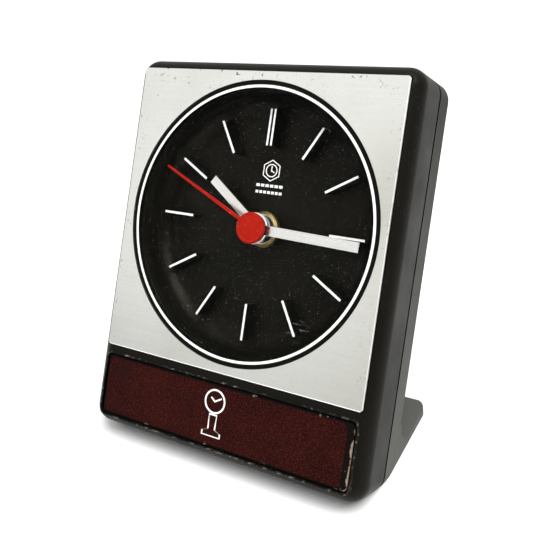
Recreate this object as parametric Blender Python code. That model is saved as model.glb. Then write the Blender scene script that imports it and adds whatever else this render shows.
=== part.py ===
"""Quartz desk clock for travel: a case that leans back on a moulded foot, a brushed square
face plate round a deep dial, a leather strip under it, and a geared quartz movement inside.

Every piece is drawn in the case's own frame: x to the right, y from the face into the case,
z up along the face, millimetres from the centre of the face plate. The empty `case_frame`
leans that frame back and sets the rubber pads on the ground plane z = 0.
Gear positions are given from the hands' axis.
"""
import math

import bmesh
import bpy
from mathutils import Matrix, Vector

MM = 0.001

# ---- case ----
LEAN = math.radians(30)
CASE_HALF_WIDTH = 51.5
CASE_TOP = 51.5
CASE_BOTTOM = -75.5
CASE_CORNER = 6.0
CASE_DEPTH = 26.3
FRONT_ROUND = 5.8
REAR_ROUND = 1.5
WALL = 2.0
FRONT_WALL = 3.0
SEAM = 16.8
GAP = 0.3
UNDERSIDE_AT_FACE = -82.9
PAD_PROUD = 0.3

# ---- foot, measured along the ground from under the face, and up from the underside ----
FOOT_END = 59.0
FOOT_THICK = 2.5
FOOT_CORNER = 5.0
FOOT_SWEEP = 5.8
FOOT_HALF_WIDTH = 51.4

# ---- face ----
PLATE_SIDE = 96.0
PLATE_CORNER = 1.0
PLATE_FRONT = -0.1
PLATE_BACK = 0.6
PLATE_SEAT = 0.9
DIAL_CENTRE = (0.4, 0.0)
OPENING_RADIUS = 45.2
LENS_FRONT = 0.3
LENS_BACK = 2.1

# ---- leather strip ----
STRIP_TOP = -51.6
STRIP_BOTTOM = -71.4
STRIP_HALF_WIDTH = 46.6
STRIP_FRONT = -0.15
POCKET_MARGIN = 0.6
POCKET_FLOOR = 1.0
LIP_FRONT = -0.35
LIP_WIDTH = 0.6

# ---- dial ----
DIAL_RIM_RADIUS = 44.9
DIAL_MOUTH_RADIUS = 42.9
DIAL_WALL_FOOT = 41.9
DIAL_SWEEP = 7.5
DIAL_RIM_FRONT = 2.5
DIAL_FLOOR = 12.5
DIAL_SHEET = 1.4
FIN_INNER = 25.8
FIN_OUTER = 37.7
FIN_FRONT = 7.5
FIN_WIDTH = 0.8
TWIN_FIN_WIDTH = 0.7
TWIN_FIN_OFFSET = 0.72

# ---- hands, clockwise from twelve ----
HAND_AXIS = (0.4, -1.2)
HOUR_ANGLE = math.radians(305.9)
MINUTE_ANGLE = math.radians(91.5)
SECOND_ANGLE = math.radians(294.5)
HOUR_LENGTH = 24.3
MINUTE_LENGTH = 37.0
SECOND_LENGTH = 40.6

# ---- movement: depth of each layer, near and far ----
BASE_LAYER = (14.3, 15.5)
HOUR_LAYER = (15.8, 16.6)
MOTION_LAYER = (16.9, 17.5)
CENTRE_LAYER = (17.9, 18.5)
THIRD_LAYER = (18.9, 19.5)
SECONDS_LAYER = (19.9, 20.4)
INTERMEDIATE_LAYER = (20.9, 21.4)
COVER_LAYER = (22.6, 24.0)
STATOR_LAYER = (18.7, 19.5)
CORE_LAYER = (17.7, 18.4)
BOARD_LAYER = (20.6, 21.4)
PIVOT_ENDS = (14.8, 23.2)
MOVEMENT_HALF_WIDTH = 28.0
MOVEMENT_TOP = 26.0
MOVEMENT_BOTTOM = -30.0
MOVEMENT_WALL = 1.2

# ---- gears: teeth and modules of each meshing pair ----
CANNON_TEETH, MINUTE_WORK_TEETH, MOTION_MODULE = 10, 30, 0.30
MINUTE_PINION_TEETH, HOUR_TEETH, HOUR_MODULE = 10, 40, 0.24
CENTRE_TEETH, THIRD_PINION_TEETH, CENTRE_MODULE = 64, 8, 0.255
THIRD_TEETH, SECONDS_PINION_TEETH, THIRD_MODULE = 60, 8, 0.27
SECONDS_TEETH, INTERMEDIATE_PINION_TEETH, SECONDS_MODULE = 48, 8, 0.30
INTERMEDIATE_TEETH, ROTOR_PINION_TEETH, ROTOR_MODULE = 40, 8, 0.25
SETTING_TEETH = 10
THIRD_BEARING = math.radians(150)
INTERMEDIATE_BEARING = math.radians(40)
ROTOR_BEARING = math.radians(20)
DOWN = math.radians(-90)

# ---- coil ----
COIL_X = 21.5
COIL_DEPTH = 18.05
COIL_SCREWS = (16.2, -7.2)

# ---- battery ----
CELL_RADIUS = 7.1
CELL_AXIS = (16.7, -45.9)
CELL_HALF_LENGTH = 25.1
DOOR_HALF_WIDTH = 27.2
DOOR_TOP = -37.0
DOOR_BOTTOM = -51.3
DOOR_HINGE = (25.6, -37.9)

CASE_SCREWS = ((-44, 44), (44, 44), (-44, -46), (44, -46))
TRAY_SCREWS = ((-34, -57), (34, -57))
MOVEMENT_SCREWS = ((-24.5, 22.5), (24.5, -26.5))
PADS = ((-42, 26.5), (42, 26.5), (-42, 52.5), (42, 52.5))

BLACK = (0.012, 0.012, 0.012)
DARK = (0.03, 0.03, 0.028)
STEEL = (0.62, 0.62, 0.60)
BRASS = (0.62, 0.47, 0.17)
NYLON = (0.75, 0.72, 0.62)


# ---- scene helpers ----
def clear_scene():
    for item in list(bpy.data.objects):
        bpy.data.objects.remove(item, do_unlink=True)


def make_case_frame():
    """The empty that leans the case back, centred over the origin and standing on z = 0."""
    lip_corner = ground_distance(LIP_FRONT, STRIP_BOTTOM - POCKET_MARGIN - LIP_WIDTH)
    rear_centre = ground_distance(CASE_DEPTH - REAR_ROUND, CASE_TOP - REAR_ROUND)
    middle = (lip_corner + rear_centre + REAR_ROUND) / 2
    frame = bpy.data.objects.new("case_frame", None)
    frame.rotation_euler = (-LEAN, 0, 0)
    frame.location = (
        0,
        (-UNDERSIDE_AT_FACE * math.sin(LEAN) - middle) * MM,
        (PAD_PROUD - UNDERSIDE_AT_FACE * math.cos(LEAN)) * MM,
    )
    bpy.context.collection.objects.link(frame)
    return frame


def ground_distance(y, z):
    """How far back along the ground a point of the case's side view stands."""
    return y * math.cos(LEAN) + (z - UNDERSIDE_AT_FACE) * math.sin(LEAN)


def over_ground(along, height):
    """The (y, z) of a point given along the ground and up from the underside."""
    y = along * math.cos(LEAN) - height * math.sin(LEAN)
    z = UNDERSIDE_AT_FACE + along * math.sin(LEAN) + height * math.cos(LEAN)
    return y, z


def finish(bm, name, look, at=(0, 0, 0), turn=(0, 0, 0)):
    """Turns a bmesh drawn in millimetres into an object of its own, hung from the case frame."""
    bmesh.ops.recalc_face_normals(bm, faces=bm.faces[:])
    bmesh.ops.scale(bm, vec=(MM, MM, MM), verts=bm.verts[:])
    mesh = bpy.data.meshes.new(name)
    bm.to_mesh(mesh)
    bm.free()
    mesh.shade_smooth()
    mesh.set_sharp_from_angle(angle=math.radians(35))
    item = bpy.data.objects.new(name, mesh)
    item.location = Vector(at) * MM
    item.rotation_euler = turn
    item.parent = bpy.data.objects["case_frame"]
    bpy.context.collection.objects.link(item)
    if look:
        mesh.materials.append(make_material(name, *look))
    return item


def make_material(name, colour, roughness, metallic):
    material = bpy.data.materials.new(name)
    material.use_nodes = True
    shader = material.node_tree.nodes["Principled BSDF"]
    shader.inputs["Base Color"].default_value = (*colour, 1)
    shader.inputs["Roughness"].default_value = roughness
    shader.inputs["Metallic"].default_value = metallic
    return material


def combine(target, tool, operation):
    """Cuts or joins a hidden tool object with a Boolean modifier."""
    step = target.modifiers.new(tool.name, "BOOLEAN")
    step.operation = operation
    step.solver = "EXACT"
    step.object = tool
    tool.hide_render = True
    tool.display_type = "WIRE"


def cut(target, tool):
    combine(target, tool, "DIFFERENCE")


def join(target, tool):
    combine(target, tool, "UNION")


# ---- shapes, all drawn into a bmesh in millimetres ----
def add_box(bm, low, high):
    centre = [(a + b) / 2 for a, b in zip(low, high)]
    size = [b - a for a, b in zip(low, high)]
    matrix = Matrix.Translation(centre) @ Matrix.Diagonal((*size, 1))
    bmesh.ops.create_cube(bm, size=1, matrix=matrix)


def box(low, high):
    bm = bmesh.new()
    add_box(bm, low, high)
    return bm


def add_prism(bm, outline, near, far):
    """Extrudes an (x, z) outline from one depth to another."""
    face = bm.faces.new([bm.verts.new((x, near, z)) for x, z in outline])
    grown = bmesh.ops.extrude_face_region(bm, geom=[face])["geom"]
    moved = [v for v in grown if isinstance(v, bmesh.types.BMVert)]
    bmesh.ops.translate(bm, verts=moved, vec=(0, far - near, 0))


def prism(outline, near, far):
    bm = bmesh.new()
    add_prism(bm, outline, near, far)
    return bm


def add_turned(bm, profile, centre=(0, 0), segments=32):
    """Spins an (r, y) profile round the depth axis; it is closed unless it ends on the axis."""
    x, z = centre
    points = [bm.verts.new((x + r, y, z)) for r, y in profile]
    edges = [bm.edges.new(pair) for pair in zip(points, points[1:])]
    if profile[0][0] > 0 or profile[-1][0] > 0:
        edges.append(bm.edges.new((points[-1], points[0])))
    bmesh.ops.spin(
        bm, geom=points + edges, cent=(x, 0, z), axis=(0, 1, 0), dvec=(0, 0, 0),
        angle=math.tau, steps=segments, use_merge=True,
    )
    bmesh.ops.remove_doubles(bm, verts=bm.verts[:], dist=0.0005)


def turned(profile, centre=(0, 0), segments=32):
    bm = bmesh.new()
    add_turned(bm, profile, centre, segments)
    return bm


def rod(radius, near, far):
    return [(0, near), (radius, near), (radius, far), (0, far)]


def tube(inner, outer, near, far):
    return [(inner, near), (outer, near), (outer, far), (inner, far)]


def rods(places, radius, near, far, segments=16):
    bm = bmesh.new()
    for place in places:
        add_turned(bm, rod(radius, near, far), place, segments)
    return bm


def arc(centre, radius, start, end, steps):
    """Points on a circle from one angle to another, in degrees."""
    angles = [math.radians(start + (end - start) * i / steps) for i in range(steps + 1)]
    return [(centre[0] + radius * math.cos(a), centre[1] + radius * math.sin(a)) for a in angles]


def rounded_rectangle(left, right, bottom, top, radius, steps=5):
    corners = (
        (right - radius, top - radius, 0),
        (left + radius, top - radius, 90),
        (left + radius, bottom + radius, 180),
        (right - radius, bottom + radius, 270),
    )
    outline = []
    for x, z, start in corners:
        outline += arc((x, z), radius, start, start + 90, steps)
    return outline


def case_outline(inset, corner_steps=5):
    """The case seen from the front, drawn in by `inset` all round."""
    return rounded_rectangle(
        -CASE_HALF_WIDTH + inset, CASE_HALF_WIDTH - inset, CASE_BOTTOM + inset,
        CASE_TOP - inset, max(CASE_CORNER - inset, 0.2), corner_steps,
    )


def loft(sections):
    """Skins (y, outline) sections of equal point count and caps both ends."""
    bm = bmesh.new()
    rings = [[bm.verts.new((x, y, z)) for x, z in outline] for y, outline in sections]
    for ring, following in zip(rings, rings[1:]):
        for i in range(len(ring)):
            j = (i + 1) % len(ring)
            bm.faces.new((ring[i], ring[j], following[j], following[i]))
    bm.faces.new(rings[0])
    bm.faces.new(rings[-1])
    return bm


def rounding(radius, steps):
    """(inset, depth) pairs down a quarter-round edge."""
    angles = [math.pi / 2 * i / steps for i in range(steps + 1)]
    return [(radius * (1 - math.sin(a)), radius * (1 - math.cos(a))) for a in angles]


def trim_below(bm, height):
    """Cuts away what lies less than `height` above the underside, and closes the cut."""
    y, z = over_ground(0, height)
    down = (0, math.sin(LEAN), -math.cos(LEAN))
    bmesh.ops.bisect_plane(
        bm, geom=bm.verts[:] + bm.edges[:] + bm.faces[:], plane_co=(0, y, z),
        plane_no=down, clear_outer=True,
    )
    open_edges = [edge for edge in bm.edges if edge.is_boundary]
    bmesh.ops.edgeloop_fill(bm, edges=open_edges)


# ---- gears ----
def gear_outline(teeth, module, phase, centre=(0, 0)):
    """A spur gear's outline: four points to a tooth, slimmer at the tip."""
    pitch_radius = teeth * module / 2
    tip_radius = pitch_radius + 0.8 * module
    root_radius = pitch_radius - 1.2 * module
    half_pitch = math.pi / teeth
    tip_width = 0.24 if teeth <= 12 else 0.26
    root_width = 0.46 if teeth <= 12 else 0.66
    corners = (
        (root_radius, -root_width), (tip_radius, -tip_width),
        (tip_radius, tip_width), (root_radius, root_width),
    )
    outline = []
    for tooth in range(teeth):
        middle = phase + 2 * half_pitch * tooth
        for radius, share in corners:
            angle = middle + share * half_pitch
            outline.append((
                centre[0] + radius * math.cos(angle), centre[1] + radius * math.sin(angle)
            ))
    return outline


def mesh_phase(bearing, phase, driver_teeth, driven_teeth):
    """The phase that sets the driven gear's gap on the driver's tooth; `bearing` runs to it."""
    return (
        bearing + math.pi - driver_teeth / driven_teeth * (phase - bearing)
        + math.pi / driven_teeth
    )


def from_bearing(start, bearing, distance):
    return (
        start[0] + distance * math.cos(bearing), start[1] + distance * math.sin(bearing)
    )


def gear_distance(first, second, module):
    return (first + second) * module / 2


def on_case(place):
    """A place given from the hands' axis, in the case's own frame."""
    return HAND_AXIS[0] + place[0], HAND_AXIS[1] + place[1]


CENTRE = (0.0, 0.0)
MINUTE_WORK = from_bearing(
    CENTRE, DOWN, gear_distance(CANNON_TEETH, MINUTE_WORK_TEETH, MOTION_MODULE)
)
SETTING = from_bearing(
    MINUTE_WORK, DOWN, gear_distance(MINUTE_WORK_TEETH, SETTING_TEETH, MOTION_MODULE)
)
THIRD = from_bearing(
    CENTRE, THIRD_BEARING, gear_distance(CENTRE_TEETH, THIRD_PINION_TEETH, CENTRE_MODULE)
)
INTERMEDIATE = from_bearing(
    CENTRE, INTERMEDIATE_BEARING,
    gear_distance(SECONDS_TEETH, INTERMEDIATE_PINION_TEETH, SECONDS_MODULE),
)
ROTOR = from_bearing(
    INTERMEDIATE, ROTOR_BEARING,
    gear_distance(INTERMEDIATE_TEETH, ROTOR_PINION_TEETH, ROTOR_MODULE),
)

# each gear's phase follows from the one that drives it
MINUTE_WORK_PHASE = mesh_phase(DOWN, 0, CANNON_TEETH, MINUTE_WORK_TEETH)
HOUR_PHASE = mesh_phase(-DOWN, 0, MINUTE_PINION_TEETH, HOUR_TEETH)
SETTING_PHASE = mesh_phase(DOWN, MINUTE_WORK_PHASE, MINUTE_WORK_TEETH, SETTING_TEETH)
THIRD_PINION_PHASE = mesh_phase(THIRD_BEARING, 0, CENTRE_TEETH, THIRD_PINION_TEETH)
SECONDS_PINION_PHASE = mesh_phase(THIRD_BEARING + math.pi, 0, THIRD_TEETH, SECONDS_PINION_TEETH)
INTERMEDIATE_PINION_PHASE = mesh_phase(
    INTERMEDIATE_BEARING, 0, SECONDS_TEETH, INTERMEDIATE_PINION_TEETH
)
ROTOR_PINION_PHASE = mesh_phase(ROTOR_BEARING, 0, INTERMEDIATE_TEETH, ROTOR_PINION_TEETH)


def arbor(name, look, place, gears, shaft_profile, bore=None, segments=20):
    """A wheel, its pinion and its shaft, joined into one piece that turns about `place`.

    gears holds (teeth, module, phase, near, far); bore is (radius, near, far).
    """
    x, z = on_case(place)
    shaft = finish(turned(shaft_profile, segments=segments), name, look, at=(x, 0, z))
    for number, (teeth, module, phase, near, far) in enumerate(gears):
        outline = gear_outline(teeth, module, phase)
        tool = finish(prism(outline, near, far), f"{name}_gear_{number}", None, at=(x, 0, z))
        join(shaft, tool)
    if bore:
        radius, near, far = bore
        tool = finish(
            turned(rod(radius, near, far), segments=segments), f"{name}_bore", None, at=(x, 0, z)
        )
        cut(shaft, tool)
    return shaft


# ---- case pieces ----
def make_front_shell():
    sections = [(depth, case_outline(inset)) for inset, depth in rounding(FRONT_ROUND, 5)]
    sections.append((SEAM, case_outline(0)))
    shell = finish(loft(sections), "front_shell", (DARK, 0.55, 0))
    cut(shell, finish(ground_block(), "front_ground", None, *standing()))

    cavity = loft([(FRONT_WALL, case_outline(WALL)), (SEAM + 1, case_outline(WALL))])
    trim_below(cavity, WALL)
    cut(shell, finish(cavity, "front_cavity", None))

    half = PLATE_SIDE / 2 + GAP
    seats = prism(rounded_rectangle(-half, half, -half, half, PLATE_CORNER), -1, PLATE_SEAT)
    pocket = pocket_outline(POCKET_MARGIN)
    add_prism(seats, pocket, -1, POCKET_FLOOR)
    cut(shell, finish(seats, "face_seats", None))

    opening = turned(rod(OPENING_RADIUS, -1, FRONT_WALL + 1), DIAL_CENTRE, 60)
    cut(shell, finish(opening, "dial_opening", None))

    lip = prism(pocket_outline(POCKET_MARGIN + LIP_WIDTH), LIP_FRONT, POCKET_FLOOR + 0.6)
    lip_frame = finish(lip, "strip_lip", None)
    cut(lip_frame, finish(prism(pocket, -1, FRONT_WALL), "strip_lip_inside", None))
    join(shell, lip_frame)

    posts = rods(CASE_SCREWS, 3.2, FRONT_WALL - 0.5, SEAM - GAP)
    for place in TRAY_SCREWS:
        add_turned(posts, rod(2.6, FRONT_WALL - 0.5, 18.7), place, 16)
    join(shell, finish(posts, "screw_posts", None))

    pilots = rods(CASE_SCREWS, 1.2, 8.4, SEAM + 1, 12)
    for place in TRAY_SCREWS:
        add_turned(pilots, rod(1.05, 11.5, 19.5), place, 12)
    cut(shell, finish(pilots, "screw_pilots", None))


def pocket_outline(margin):
    return rounded_rectangle(
        -STRIP_HALF_WIDTH - margin, STRIP_HALF_WIDTH + margin, STRIP_BOTTOM - margin,
        STRIP_TOP + margin, 1.2 + margin, 3,
    )


def foot_profile():
    """The foot's side view: flat underside, thin rear end, a sweep up into the rear wall."""
    wall_at_top = (CASE_DEPTH - 0.05 + FOOT_THICK * math.sin(LEAN)) / math.cos(LEAN)
    tangent = FOOT_SWEEP / math.tan(math.radians(30))
    sweep_centre = (wall_at_top + tangent, FOOT_THICK + FOOT_SWEEP)
    sweep = arc(sweep_centre, FOOT_SWEEP, 270, 150, 8)
    edge = 0.8
    side = [(24.0, -1.0), (FOOT_END - edge - 1.0, -1.0), (FOOT_END, edge)]
    side += [(FOOT_END, FOOT_THICK - edge), (FOOT_END - edge, FOOT_THICK)]
    inside = (sweep[-1][0] - 2.0, sweep[-1][1])
    return side + sweep + [inside]


def drawn_foot():
    bm = bmesh.new()
    corners = [over_ground(*point) for point in foot_profile()]
    face = bm.faces.new([bm.verts.new((-FOOT_HALF_WIDTH, y, z)) for y, z in corners])
    grown = bmesh.ops.extrude_face_region(bm, geom=[face])["geom"]
    far_side = [v for v in grown if isinstance(v, bmesh.types.BMVert)]
    bmesh.ops.translate(bm, verts=far_side, vec=(2 * FOOT_HALF_WIDTH, 0, 0))
    return bm


def foot_corners():
    """What is taken off to round the foot's two rear corners, seen from above."""
    bm = bmesh.new()
    for side in (-1, 1):
        centre = (side * (FOOT_HALF_WIDTH - FOOT_CORNER), FOOT_END - FOOT_CORNER)
        start = (0, 90) if side > 0 else (180, 90)
        outline = arc(centre, FOOT_CORNER, *start, 6)
        outline += [
            (centre[0], FOOT_END + 2), (side * (FOOT_HALF_WIDTH + 2), FOOT_END + 2),
            (side * (FOOT_HALF_WIDTH + 2), centre[1]),
        ]
        add_prism(bm, outline, -FOOT_THICK - 2, 4)
    return bm


def ground_block():
    """Everything under the case, drawn as (x, drop, along)."""
    return box((-60, 0, -30), (60, 30, 80))


def make_rear_cover():
    back = [(CASE_DEPTH - depth, case_outline(inset)) for inset, depth in rounding(REAR_ROUND, 3)]
    bm = loft([(SEAM + GAP, case_outline(0))] + back[::-1])
    cover = finish(bm, "rear_cover", (DARK, 0.5, 0))

    foot = finish(drawn_foot(), "foot", None)
    cut(foot, finish(foot_corners(), "foot_corners", None, *standing()))
    join(cover, foot)
    cut(cover, finish(ground_block(), "rear_ground", None, *standing()))

    cavity = loft([(SEAM - 1, case_outline(WALL)), (CASE_DEPTH - WALL, case_outline(WALL))])
    trim_below(cavity, WALL)
    cut(cover, finish(cavity, "rear_cavity", None))

    bosses = rods(CASE_SCREWS, 3.2, SEAM + 2 * GAP, CASE_DEPTH - WALL + 0.4)
    join(cover, finish(bosses, "screw_bosses", None))
    cut(cover, finish(rods(CASE_SCREWS, 1.3, SEAM - 1, 22, 12), "screw_clearances", None))
    cut(cover, finish(rods(CASE_SCREWS, 2.6, 20.4, CASE_DEPTH + 1), "screw_counterbores", None))

    door_half = DOOR_HALF_WIDTH + GAP
    window = box((-door_half, 23, DOOR_BOTTOM - GAP), (door_half, 28, DOOR_TOP + GAP))
    cut(cover, finish(window, "battery_window", None))
    x, z = on_case(SETTING)
    cut(cover, finish(turned(rod(6.2, 23, 28), (x, z), 40), "knob_hole", None))

    bm = bmesh.new()
    for x, along in PADS:
        add_turned(bm, rod(4.5, -0.8, 1), (x, along), 28)
    cut(cover, finish(bm, "pad_recesses", None, *standing()))

    bm = turned(rod(0.7, -door_half - 1.2, door_half + 1.2), segments=12)
    cut(cover, finish(bm, "door_pivots", None, at=(0, *DOOR_HINGE), turn=ALONG_X))


ALONG_X = (0, 0, math.radians(-90))
ALONG_Z = (math.radians(90), 0, 0)


def standing():
    """Place and turn for pieces drawn as (x, drop, along): down from the underside."""
    return (0, 0, UNDERSIDE_AT_FACE), (math.radians(-60), 0, 0)


def make_face():
    half = PLATE_SIDE / 2
    outline = rounded_rectangle(-half, half, -half, half, PLATE_CORNER)
    plate = finish(
        prism(outline, PLATE_FRONT, PLATE_BACK), "face_plate", ((0.72, 0.71, 0.68), 0.32, 1)
    )
    opening = turned(rod(OPENING_RADIUS, -2, 2), DIAL_CENTRE, 60)
    cut(plate, finish(opening, "plate_opening", None))

    lens = rod(DIAL_RIM_RADIUS, LENS_FRONT, LENS_BACK)
    finish(turned(lens, DIAL_CENTRE, 60), "lens", ((0.9, 0.92, 0.92), 0.05, 0))

    strip = loft([
        (STRIP_FRONT, strip_outline(0.4)), (STRIP_FRONT + 0.3, strip_outline(0)),
        (POCKET_FLOOR - GAP, strip_outline(0)),
    ])
    finish(strip, "leather_panel", ((0.12, 0.02, 0.016), 0.6, 0))


def strip_outline(inset):
    return rounded_rectangle(
        -STRIP_HALF_WIDTH + inset, STRIP_HALF_WIDTH - inset, STRIP_BOTTOM + inset,
        STRIP_TOP - inset, 1.2, 3,
    )


def make_dial():
    """A turned bowl with a collar behind the case's front wall and raised hour fins."""
    sweep = (DIAL_WALL_FOOT - DIAL_SWEEP, DIAL_FLOOR - DIAL_SWEEP)
    inside = arc(sweep, DIAL_SWEEP, 0, 90, 4)
    outside = arc(sweep, DIAL_SWEEP + DIAL_SHEET, 90, 0, 3)
    collar = [(44.0, 4.8), (47.5, 4.8), (47.5, FRONT_WALL + GAP), (DIAL_RIM_RADIUS, 3.3)]
    bush = 4.2
    profile = [(DIAL_MOUTH_RADIUS, DIAL_RIM_FRONT)] + inside + [(bush, DIAL_FLOOR)]
    profile += [(bush, DIAL_FLOOR + DIAL_SHEET)] + outside + collar
    profile += [(DIAL_RIM_RADIUS, DIAL_RIM_FRONT)]
    dial = finish(turned(profile, DIAL_CENTRE, 60), "dial", (BLACK, 0.6, 0))

    fins = bmesh.new()
    for hour in range(12):
        angle = math.radians(30 * hour)
        offsets = (-TWIN_FIN_OFFSET, TWIN_FIN_OFFSET) if hour == 0 else (0,)
        width = TWIN_FIN_WIDTH if hour == 0 else FIN_WIDTH
        for offset in offsets:
            outline = [
                (offset - width / 2, FIN_INNER), (offset + width / 2, FIN_INNER),
                (offset + width / 2, FIN_OUTER), (offset - width / 2, FIN_OUTER),
            ]
            add_prism(fins, turn_clockwise(outline, angle), FIN_FRONT, DIAL_FLOOR + 0.5)
    bmesh.ops.translate(fins, verts=fins.verts[:], vec=(DIAL_CENTRE[0], 0, DIAL_CENTRE[1]))
    join(dial, finish(fins, "hour_fins", None))

    bush_hole = turned(rod(bush, 10, 16), HAND_AXIS, 24)
    cut(dial, finish(bush_hole, "bush_hole", None))


def turn_clockwise(outline, angle):
    sine, cosine = math.sin(angle), math.cos(angle)
    return [(x * cosine + z * sine, z * cosine - x * sine) for x, z in outline]


# ---- hands ----
def make_hand(name, look, angle, blade, near, far, hub, bore):
    """A flat hand drawn pointing up, on a round hub, turned to its place on the dial."""
    at = (HAND_AXIS[0], 0, HAND_AXIS[1])
    turn = (0, angle, 0)
    hand = finish(turned(rod(hub, near, far), segments=24), name, look, at, turn)
    join(hand, finish(prism(blade, near, far), f"{name}_blade", None, at, turn))
    radius, bore_near, bore_far = bore
    hole = turned(rod(radius, bore_near, bore_far), segments=20)
    cut(hand, finish(hole, f"{name}_bore", None, at, turn))
    return hand


def blade_outline(root_width, tip_width, length):
    half_root, half_tip = root_width / 2, tip_width / 2
    return [(-half_root, 0), (half_root, 0), (half_tip, length), (-half_tip, length)]


def make_hands():
    silver = ((0.85, 0.85, 0.82), 0.35, 0.7)
    red = ((0.62, 0.035, 0.02), 0.4, 0)
    make_hand(
        "hour_hand", silver, HOUR_ANGLE, blade_outline(3.0, 3.0, HOUR_LENGTH),
        7.6, 8.0, 4.8, (2.1, 7, 9),
    )
    make_hand(
        "minute_hand", silver, MINUTE_ANGLE, blade_outline(3.2, 3.2, MINUTE_LENGTH),
        5.3, 5.7, 5.1, (1.3, 5, 7),
    )
    make_hand(
        "second_hand", red, SECOND_ANGLE, blade_outline(1.3, 0.7, SECOND_LENGTH),
        4.4, 4.9, 2.6, (0.6, 4.65, 6),
    )
    cap = [
        (0, 2.85), (3.9, 2.85), (4.1, 2.75), (4.6, 2.82), (4.95, 3.15), (5.05, 3.6), (5.05, 4.1),
        (0, 4.1),
    ]
    finish(
        turned(cap, segments=40), "second_hand_cap", red,
        at=(HAND_AXIS[0], 0, HAND_AXIS[1]),
    )

    brass = (BRASS, 0.3, 1)
    nut = [(4.1, 10.85), (4.55, 10.3), (4.95, 10.3), (5.8, 10.9), (5.8, 11.5), (4.1, 11.5)]
    finish(turned(nut, HAND_AXIS, 30), "centre_nut", brass)
    finish(turned(tube(4.2, 6.0, 11.8, 12.2), HAND_AXIS, 24), "nut_washer", brass)


# ---- movement ----
def make_movement_housing():
    black = (DARK, 0.5, 0)
    x, z = HAND_AXIS
    half, wall = MOVEMENT_HALF_WIDTH, MOVEMENT_WALL
    near, far = BASE_LAYER
    outer = ((x - half, near, z + MOVEMENT_BOTTOM), (x + half, 22.4, z + MOVEMENT_TOP))
    base = finish(box(*outer), "movement_base", black)
    inner = box(
        (x - half + wall, far, z + MOVEMENT_BOTTOM + wall),
        (x + half - wall, 24, z + MOVEMENT_TOP - wall),
    )
    cut(base, finish(inner, "movement_room", None))

    posts = turned(rod(4.0, 9.6, far - 0.2), HAND_AXIS, 24)
    add_turned(posts, rod(0.5, far - 0.4, 17.6), on_case(MINUTE_WORK), 16)
    for place in MOVEMENT_SCREWS:
        add_turned(posts, rod(2.0, far - 0.4, 22.3), on_case(place), 16)
    for height in COIL_SCREWS:
        add_turned(posts, rod(1.6, far - 0.4, 17.4), on_case((COIL_X, height)), 16)
    for place in ((-22.5, -17.5), (-7.0, -24.5)):
        add_turned(posts, rod(1.5, far - 0.4, 20.3), on_case(place), 16)
    join(base, finish(posts, "movement_posts", None))

    holes = turned(rod(2.15, 9, far + 0.2), HAND_AXIS, 24)
    for place in (THIRD, ROTOR):
        add_turned(holes, rod(0.5, 14.6, far + 0.2), on_case(place), 12)
    add_turned(holes, rod(0.75, 14.6, far + 0.2), on_case(SETTING), 12)
    for place in MOVEMENT_SCREWS:
        add_turned(holes, rod(0.8, 17.5, 23), on_case(place), 12)
    for height in COIL_SCREWS:
        add_turned(holes, rod(0.7, 14.8, 18), on_case((COIL_X, height)), 12)
    cut(base, finish(holes, "movement_holes", None))

    slots = bmesh.new()
    for left in (-20.8, -9.8):
        add_box(slots, (left, 17.1, z + MOVEMENT_BOTTOM - 1), (left + 1.9, 20.4, z - 27))
    cut(base, finish(slots, "contact_slots", None))

    lid = box(
        (x - half, COVER_LAYER[0], z + MOVEMENT_BOTTOM), (x + half, COVER_LAYER[1], z + MOVEMENT_TOP)
    )
    cover = finish(lid, "movement_cover", black)
    post = turned(rod(0.38, 19.9, COVER_LAYER[0] + 0.3), on_case(INTERMEDIATE), 12)
    join(cover, finish(post, "intermediate_post", None))
    holes = bmesh.new()
    for place, radius in ((CENTRE, 0.5), (THIRD, 0.5), (ROTOR, 0.5)):
        add_turned(holes, rod(radius, 22, 23.5), on_case(place), 12)
    add_turned(holes, rod(1.2, 22, 25), on_case(SETTING), 16)
    for place in MOVEMENT_SCREWS:
        add_turned(holes, tube_step(0.8, 1.8, 22, 23.0, 25), on_case(place), 12)
    cut(cover, finish(holes, "cover_holes", None))


def tube_step(small, large, near, step, far):
    """The profile of a stepped rod: small up to `step`, large beyond it."""
    return [(0, near), (small, near), (small, step), (large, step), (large, far), (0, far)]


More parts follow.
